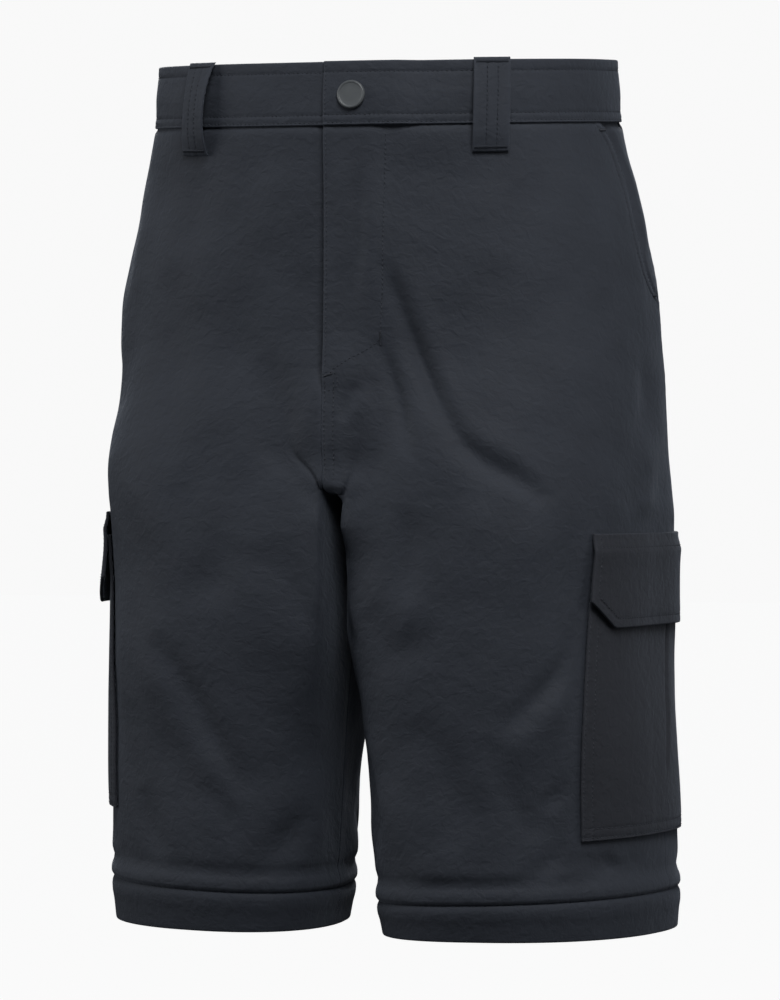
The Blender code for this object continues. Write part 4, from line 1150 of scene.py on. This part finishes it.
def leg_tube(name, side, profile, wall, finish, node, slot, end_gap=0.0):
    """Band of cloth round a leg from a profile of levels and heights, lower on the outside."""
    levels, heights = np.array(profile).T
    rim = np.array((0.0, 0.3, 0.7))
    level = np.concatenate([levels[0] - rim, np.linspace(levels[0] - 1.3, levels[-1] + 1.3, 12),
                            levels[-1] + rim[::-1]])[:, None]
    share = np.linspace(0.0, 1.0, TUBE_COLUMNS, endpoint=end_gap > 0.0)[None, :]
    dropped = level - hang(share, side) * smooth(-level, -LEG_SEAM, -HEM_EDGE)
    front, back = front_at(dropped) + end_gap / 2, back_at(dropped) - end_gap / 2
    behind = front + (back - front) * share
    wave = 0.25 * np.sin(behind / 19.0 + side) * smooth(-level, -LEG_SEAM, -HEM_EDGE)
    shell(name, side, dropped, behind, np.interp(-level, -levels, heights) + wave, wall, finish, node, slot,
          closed=end_gap == 0.0)


def hem(name, side):
    """Hem flap, the zip tape behind it and the coil along the tape's free edge."""
    leg_tube("hem_flap_cloth_" + name, side, HEM_PROFILE, HEM_WALL, HEM, "hem_flap_" + name, "hem_cloth")
    leg_tube("zip_tape_cloth_" + name, side, TAPE_PROFILE, TAPE_WALL, TAPE, "zip_tape_" + name, "zip_tape",
             TAPE_END_GAP)
    foot, depth = TAPE_PROFILE[-1]
    level = np.array([foot])
    first, last = front_at(level)[0] + TAPE_END_GAP / 2, back_at(level)[0] - TAPE_END_GAP / 2
    around = np.arange(first, last, TOOTH_PITCH)
    share = (around - first) / (last - first)
    level = foot - hang(share, side) * smooth(-foot, -LEG_SEAM, -HEM_EDGE)
    start = place(level + 2.6, around, depth - TAPE_WALL - 0.2, side)
    end = place(level - 1.6, around + 0.5, depth - TAPE_WALL / 2, side)
    away = place(level, around, depth - TAPE_WALL - 1.2, side) - place(level, around, depth, side)
    strands("zip_coil_" + name, start, end, away, 0.55, 0.7, COIL)


def strands(name, start, end, away, radius, rise, finish):
    """Short strands from start to end, four-sided, thickest and proud of the cloth half way along."""
    away = away / np.linalg.norm(away, axis=-1, keepdims=True)
    along = end - start
    along = along / np.linalg.norm(along, axis=-1, keepdims=True)
    aside = np.cross(along, away)
    stations = []
    for share, thick, high in ((0.0, 0.55, 0.0), (0.5, 1.0, rise), (1.0, 0.55, 0.0)):
        middle = start + (end - start) * share + away * high
        for turn in (0.0, 0.5, 1.0, 1.5):
            stations.append(middle + radius * thick * (np.cos(np.pi * turn) * aside + np.sin(np.pi * turn) * away))
    points = np.stack(stations, axis=1)
    faces = [(4 * k + i, 4 * k + (i + 1) % 4, 4 * k + 4 + (i + 1) % 4, 4 * k + 4 + i)
             for k in (0, 1) for i in range(4)] + [(3, 2, 1, 0), (8, 9, 10, 11)]
    faces = (np.array(faces)[None] + 12 * np.arange(len(points))[:, None, None]).reshape(-1, 4)
    build(name, points.reshape(-1, 3), faces.tolist(), finish, smooth_angle=80.0)


# Stitches gathered so far, in groups that each become one piece
SEWING = {}


def face_line(side, level, behind, out):
    """Points of a line of places on a cloth's face, and the step out of it at each, about 1 mm long."""
    side = np.broadcast_to(np.asarray(side, float), level.shape)
    points = place(level, behind, out, side)
    return points, place(level, behind, out + 1.0, side) - points


def keep(group, start, end, away, sink):
    """Adds strands to a group, sunk a little into the cloth."""
    SEWING.setdefault(group, []).append((start - away * sink, end - away * sink, away))


def sew(group, side, level, behind, out):
    """Stitches of THREAD_STITCH every THREAD_PITCH along a line of places, lying on the cloth's face."""
    points, away = face_line(side, level, behind, out + 0.05)
    reach = reach_along(points)
    starts = np.arange(0.3, reach[-1] - THREAD_STITCH, THREAD_PITCH)
    ends = starts + THREAD_STITCH
    start, end, away = read_at(starts, reach, points), read_at(ends, reach, points), read_at(starts, reach, away)
    keep(group, start, end, away, THREAD_SINK)


def bartack(group, side, level, behind, out, width):
    """Close zigzag across a short line, width up and down, a strand every BARTACK_PITCH."""
    points, away = face_line(side, level, behind, out + 0.1)
    reach = reach_along(points)
    spots = np.arange(0.0, reach[-1], BARTACK_PITCH)
    middle = read_at(spots, reach, points)
    away = read_at(spots, reach, away / np.linalg.norm(away, axis=1, keepdims=True))
    along = np.gradient(middle, axis=0)
    along = along / np.linalg.norm(along, axis=1, keepdims=True)
    reach_out = np.cross(away, along) * width / 2 + along * BARTACK_PITCH * BARTACK_LEAN
    keep(group, middle - reach_out, middle + reach_out, away, 0.1)


def sew_front(side, level, behind, tack=None):
    """Row of stitches on a front panel or, given its width, a bartack."""
    out = front_out(side, level, behind)
    if tack is None:
        sew("sewing_fronts", side, level, behind, out)
    else:
        bartack("sewing_fronts", side, level, behind, out, tack)


def sew_panels():
    """Rows on the fronts, the rise and the seat, and bartacks where they take strain."""
    for side in (1, -1):
        levels = np.linspace(BELOW_BAND, SLASH_FOOT, 90)
        for inset in SLASH_ROWS:
            sew_front(side, levels, slash_edge(levels) - inset)
        for level in (BAND_SEAM - 5.0, SLASH_FOOT + 4.0):
            sew_front(side, np.full(12, level), slash_edge(np.array([level])) - np.linspace(1.0, 9.0, 12), 2.2)
    levels = np.linspace(BELOW_BAND, FLY_END, 80)
    sew_front(1, levels, front_at(levels) + RISE_ROWS[0])
    # the fly's curved stitching runs down to its turn and round to the centre, with a bartack at the turn
    levels = np.concatenate([np.linspace(BELOW_BAND, FLY_TURN, 70), np.linspace(FLY_TURN - 1.0, -178.5, 40)])
    sew_front(1, levels, front_at(levels) + fly_curve(levels))
    levels = np.linspace(FLY_TURN + 4.0, FLY_TURN - 4.0, 12)
    sew_front(1, levels, front_at(levels) + fly_curve(FLY_TURN), 1.6)
    # the fly's foot: a small box of stitches with a bar along its top
    corners = len(FLY_FOOT_BOX)
    levels, inset = read_at(np.linspace(0.0, corners - 1.0, 60), np.arange(corners), FLY_FOOT_BOX).T
    sew_front(1, levels, front_at(levels) + inset)
    levels = np.linspace(-181.6, -179.6, 10)
    sew_front(1, levels, front_at(levels) + np.linspace(1.6, 7.4, 10), 1.5)
    levels = np.linspace(FLY_END - 8.0, CROTCH + 8.0, 70)
    for inset in RISE_ROWS:
        sew_front(1, levels, front_at(levels) + inset)
    levels = np.linspace(BELOW_BAND, CROTCH + 8.0, 120)
    for inset in RISE_ROWS:
        row = back_at(levels) - inset
        sew("sewing_backs", 1, levels, row, back_out(1, levels, row))


def sew_band():
    """Rows round the waistband, and one up its upper end."""
    half = float(back_at(0.0) - front_at(0.0))
    count = 260
    distance = np.concatenate([np.linspace(2.5, half, count), np.linspace(half, 0.5, count)])
    left = np.arange(2 * count) < count
    side = np.where(left, 1.0, -1.0)
    for row in (BAND_TOP_ROW, *BAND_FOOT_ROWS):
        level = np.full(2 * count, row)
        behind = front_at(level) + (back_at(level) - front_at(level)) * distance / half
        sew("sewing_waistband", side, level, behind, band_out(level, distance, left))
    level = np.linspace(BAND_TOP - 1.5, BAND_SEAM + 1.8, 30)
    behind = front_at(level) + 1.8
    sew("sewing_waistband", 1, level, behind, band_out(level, np.full(30, 1.8), True))


def snap_button(name):
    """Profile turned about the snap's axis: a cap with a rolled rim and a shallow crown."""
    level = np.array([SNAP_LEVEL])
    behind = front_at(level) + SNAP_AT
    seat = BAND_PROUD + BAND_RAISE + 0.3
    centre, above = place(level, behind, seat)[0], place(level, behind, seat + 1.0)[0]
    axis = above - centre
    first = np.cross(axis, (0.0, 0.0, 1.0))
    first /= np.linalg.norm(first)
    turn = np.linspace(0.0, 2 * np.pi, SNAP_SIDES, endpoint=False)[:, None]
    spokes = np.cos(turn) * first + np.sin(turn) * np.cross(axis, first)
    profile = SNAP_PROFILE[1:-1]
    rings = [centre + radius * spokes + height * axis for radius, height in profile]
    points = np.concatenate([*rings, [centre, centre + SNAP_PROFILE[-1][1] * axis]])
    index = np.arange(len(rings) * SNAP_SIDES).reshape(len(rings), SNAP_SIDES)
    index = np.concatenate([index, index[:, :1]], axis=1)
    faces = cells(index).tolist()
    for pole, row in ((len(points) - 2, index[0]), (len(points) - 1, index[-1])):
        faces += np.stack([np.full(SNAP_SIDES, pole), row[:-1], row[1:]], axis=1).tolist()
    edge = [np.full(SNAP_SIDES, bell(radius - 8.4, 0.8)) for radius, _ in profile]
    piece = build(name, points, faces, CAP, edge=np.concatenate([*edge, [0.0, 0.0]]), smooth_angle=60.0)
    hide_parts("snap_button")


def sewing():
    """One piece of each group of stitches."""
    for group, rows in SEWING.items():
        start, end, away = (np.concatenate([row[k] for row in rows]) for k in range(3))
        strands(group, start, end, away, THREAD_RADIUS, THREAD_SINK + 0.12, THREAD)


def camera():
    """The photo's view: level with the thighs, 20 degrees round from the front to the wearer's left."""
    azimuth, distance = np.radians(20.0), 2.8
    aim = np.array((0.0, 0.017, -0.2415))
    seen_from = aim + distance * np.array((np.sin(azimuth), -np.cos(azimuth), 0.0))
    lens = bpy.data.cameras.new("camera")
    lens.sensor_width = 36.0
    lens.lens = 155.1
    lens.shift_y = -0.030
    lens.clip_end = 60.0
    made = put("camera", lens)
    made.location = seen_from
    made.rotation_euler = (np.pi / 2, 0.0, azimuth)
    bpy.context.scene.camera = made


# Lights. Columns: name, place in metres, turn in degrees, size in metres, power in watts. The floor's level and
# reach are in metres; its glow and the surroundings' as the camera sees them are close, so no line parts them
LIGHTS = (
    ("key", (1.05, -1.75, 1.8), (44.9, 0.0, 31.0), 1.5, 58.0),
    ("left", (-2.4, -1.0, 0.5), (73.9, 0.0, -67.4), 1.6, 21.0),
    ("right", (2.4, 0.3, 0.5), (72.8, 0.0, 97.1), 1.6, 10.0),
    ("back", (-0.82, 2.25, 1.2), (-58.8, 0.0, 20.0), 1.6, 78.0),
)
FLOOR_LEVEL = -1.6
FLOOR_REACH = 40.0
FLOOR_GLOW = 0.92
SURROUNDINGS = 0.07
SURROUNDINGS_SEEN = 0.945


def stage():
    """Pale floor, white surroundings and soft lights."""
    for name, spot, turn, size, power in LIGHTS:
        lamp = bpy.data.lights.new(name, "AREA")
        lamp.size = size
        lamp.energy = power
        made = put(name, lamp)
        made.location = spot
        made.rotation_euler = np.radians(turn)
    mesh = bpy.data.meshes.new("floor")
    corners = [(x * FLOOR_REACH, y * FLOOR_REACH, FLOOR_LEVEL) for x, y in ((-1, -1), (1, -1), (1, 1), (-1, 1))]
    mesh.from_pydata(corners, [], [(0, 1, 2, 3)])
    made, tree, shader = new_finish("floor_matt_white", (0.8, 0.8, 0.8, 1.0))
    shader.inputs["Base Color"].default_value = (0.4, 0.4, 0.4, 1.0)
    shader.inputs["Roughness"].default_value = 0.9
    shader.inputs["Emission Color"].default_value = (1.0, 1.0, 1.0, 1.0)
    shader.inputs["Emission Strength"].default_value = FLOOR_GLOW
    mesh.materials.append(made)
    floor = put("floor", mesh)
    # the floor is lit up for the eye only, so that it throws no light up under the hems
    floor.visible_diffuse = False
    floor.visible_glossy = False

    world = bpy.data.worlds.new("surroundings")
    world.use_nodes = True
    tree = world.node_tree
    tree.nodes.clear()
    seen = add(tree, "Background", values={"Color": (1.0, 1.0, 1.0, 1.0), "Strength": SURROUNDINGS_SEEN})
    lit = add(tree, "Background", values={"Color": (0.95, 0.97, 1.0, 1.0), "Strength": SURROUNDINGS})
    ray = add(tree, "LightPath").outputs["Is Camera Ray"]
    mixed = add(tree, "MixShader", {0: ray, 1: lit.outputs[0], 2: seen.outputs[0]})
    output = add(tree, "OutputWorld")
    tree.links.new(output.inputs["Surface"], mixed.outputs[0])
    bpy.context.scene.world = world
    bpy.context.scene.view_settings.view_transform = "Standard"


def main():
    camera()
    stage()
    waistband("waistband_cloth")
    snap_button("snap_cap")
    for name, side in (("left", 1), ("right", -1)):
        front_panel(name, side)
        back_panel(name, side)
        pocket_facing(name, side)
        cargo_pocket(name, side)
        cargo_flap(name, side)
        hem(name, side)
    for loop in LOOPS:
        belt_loop(*loop)
    sew_panels()
    sew_band()
    sewing()


main()
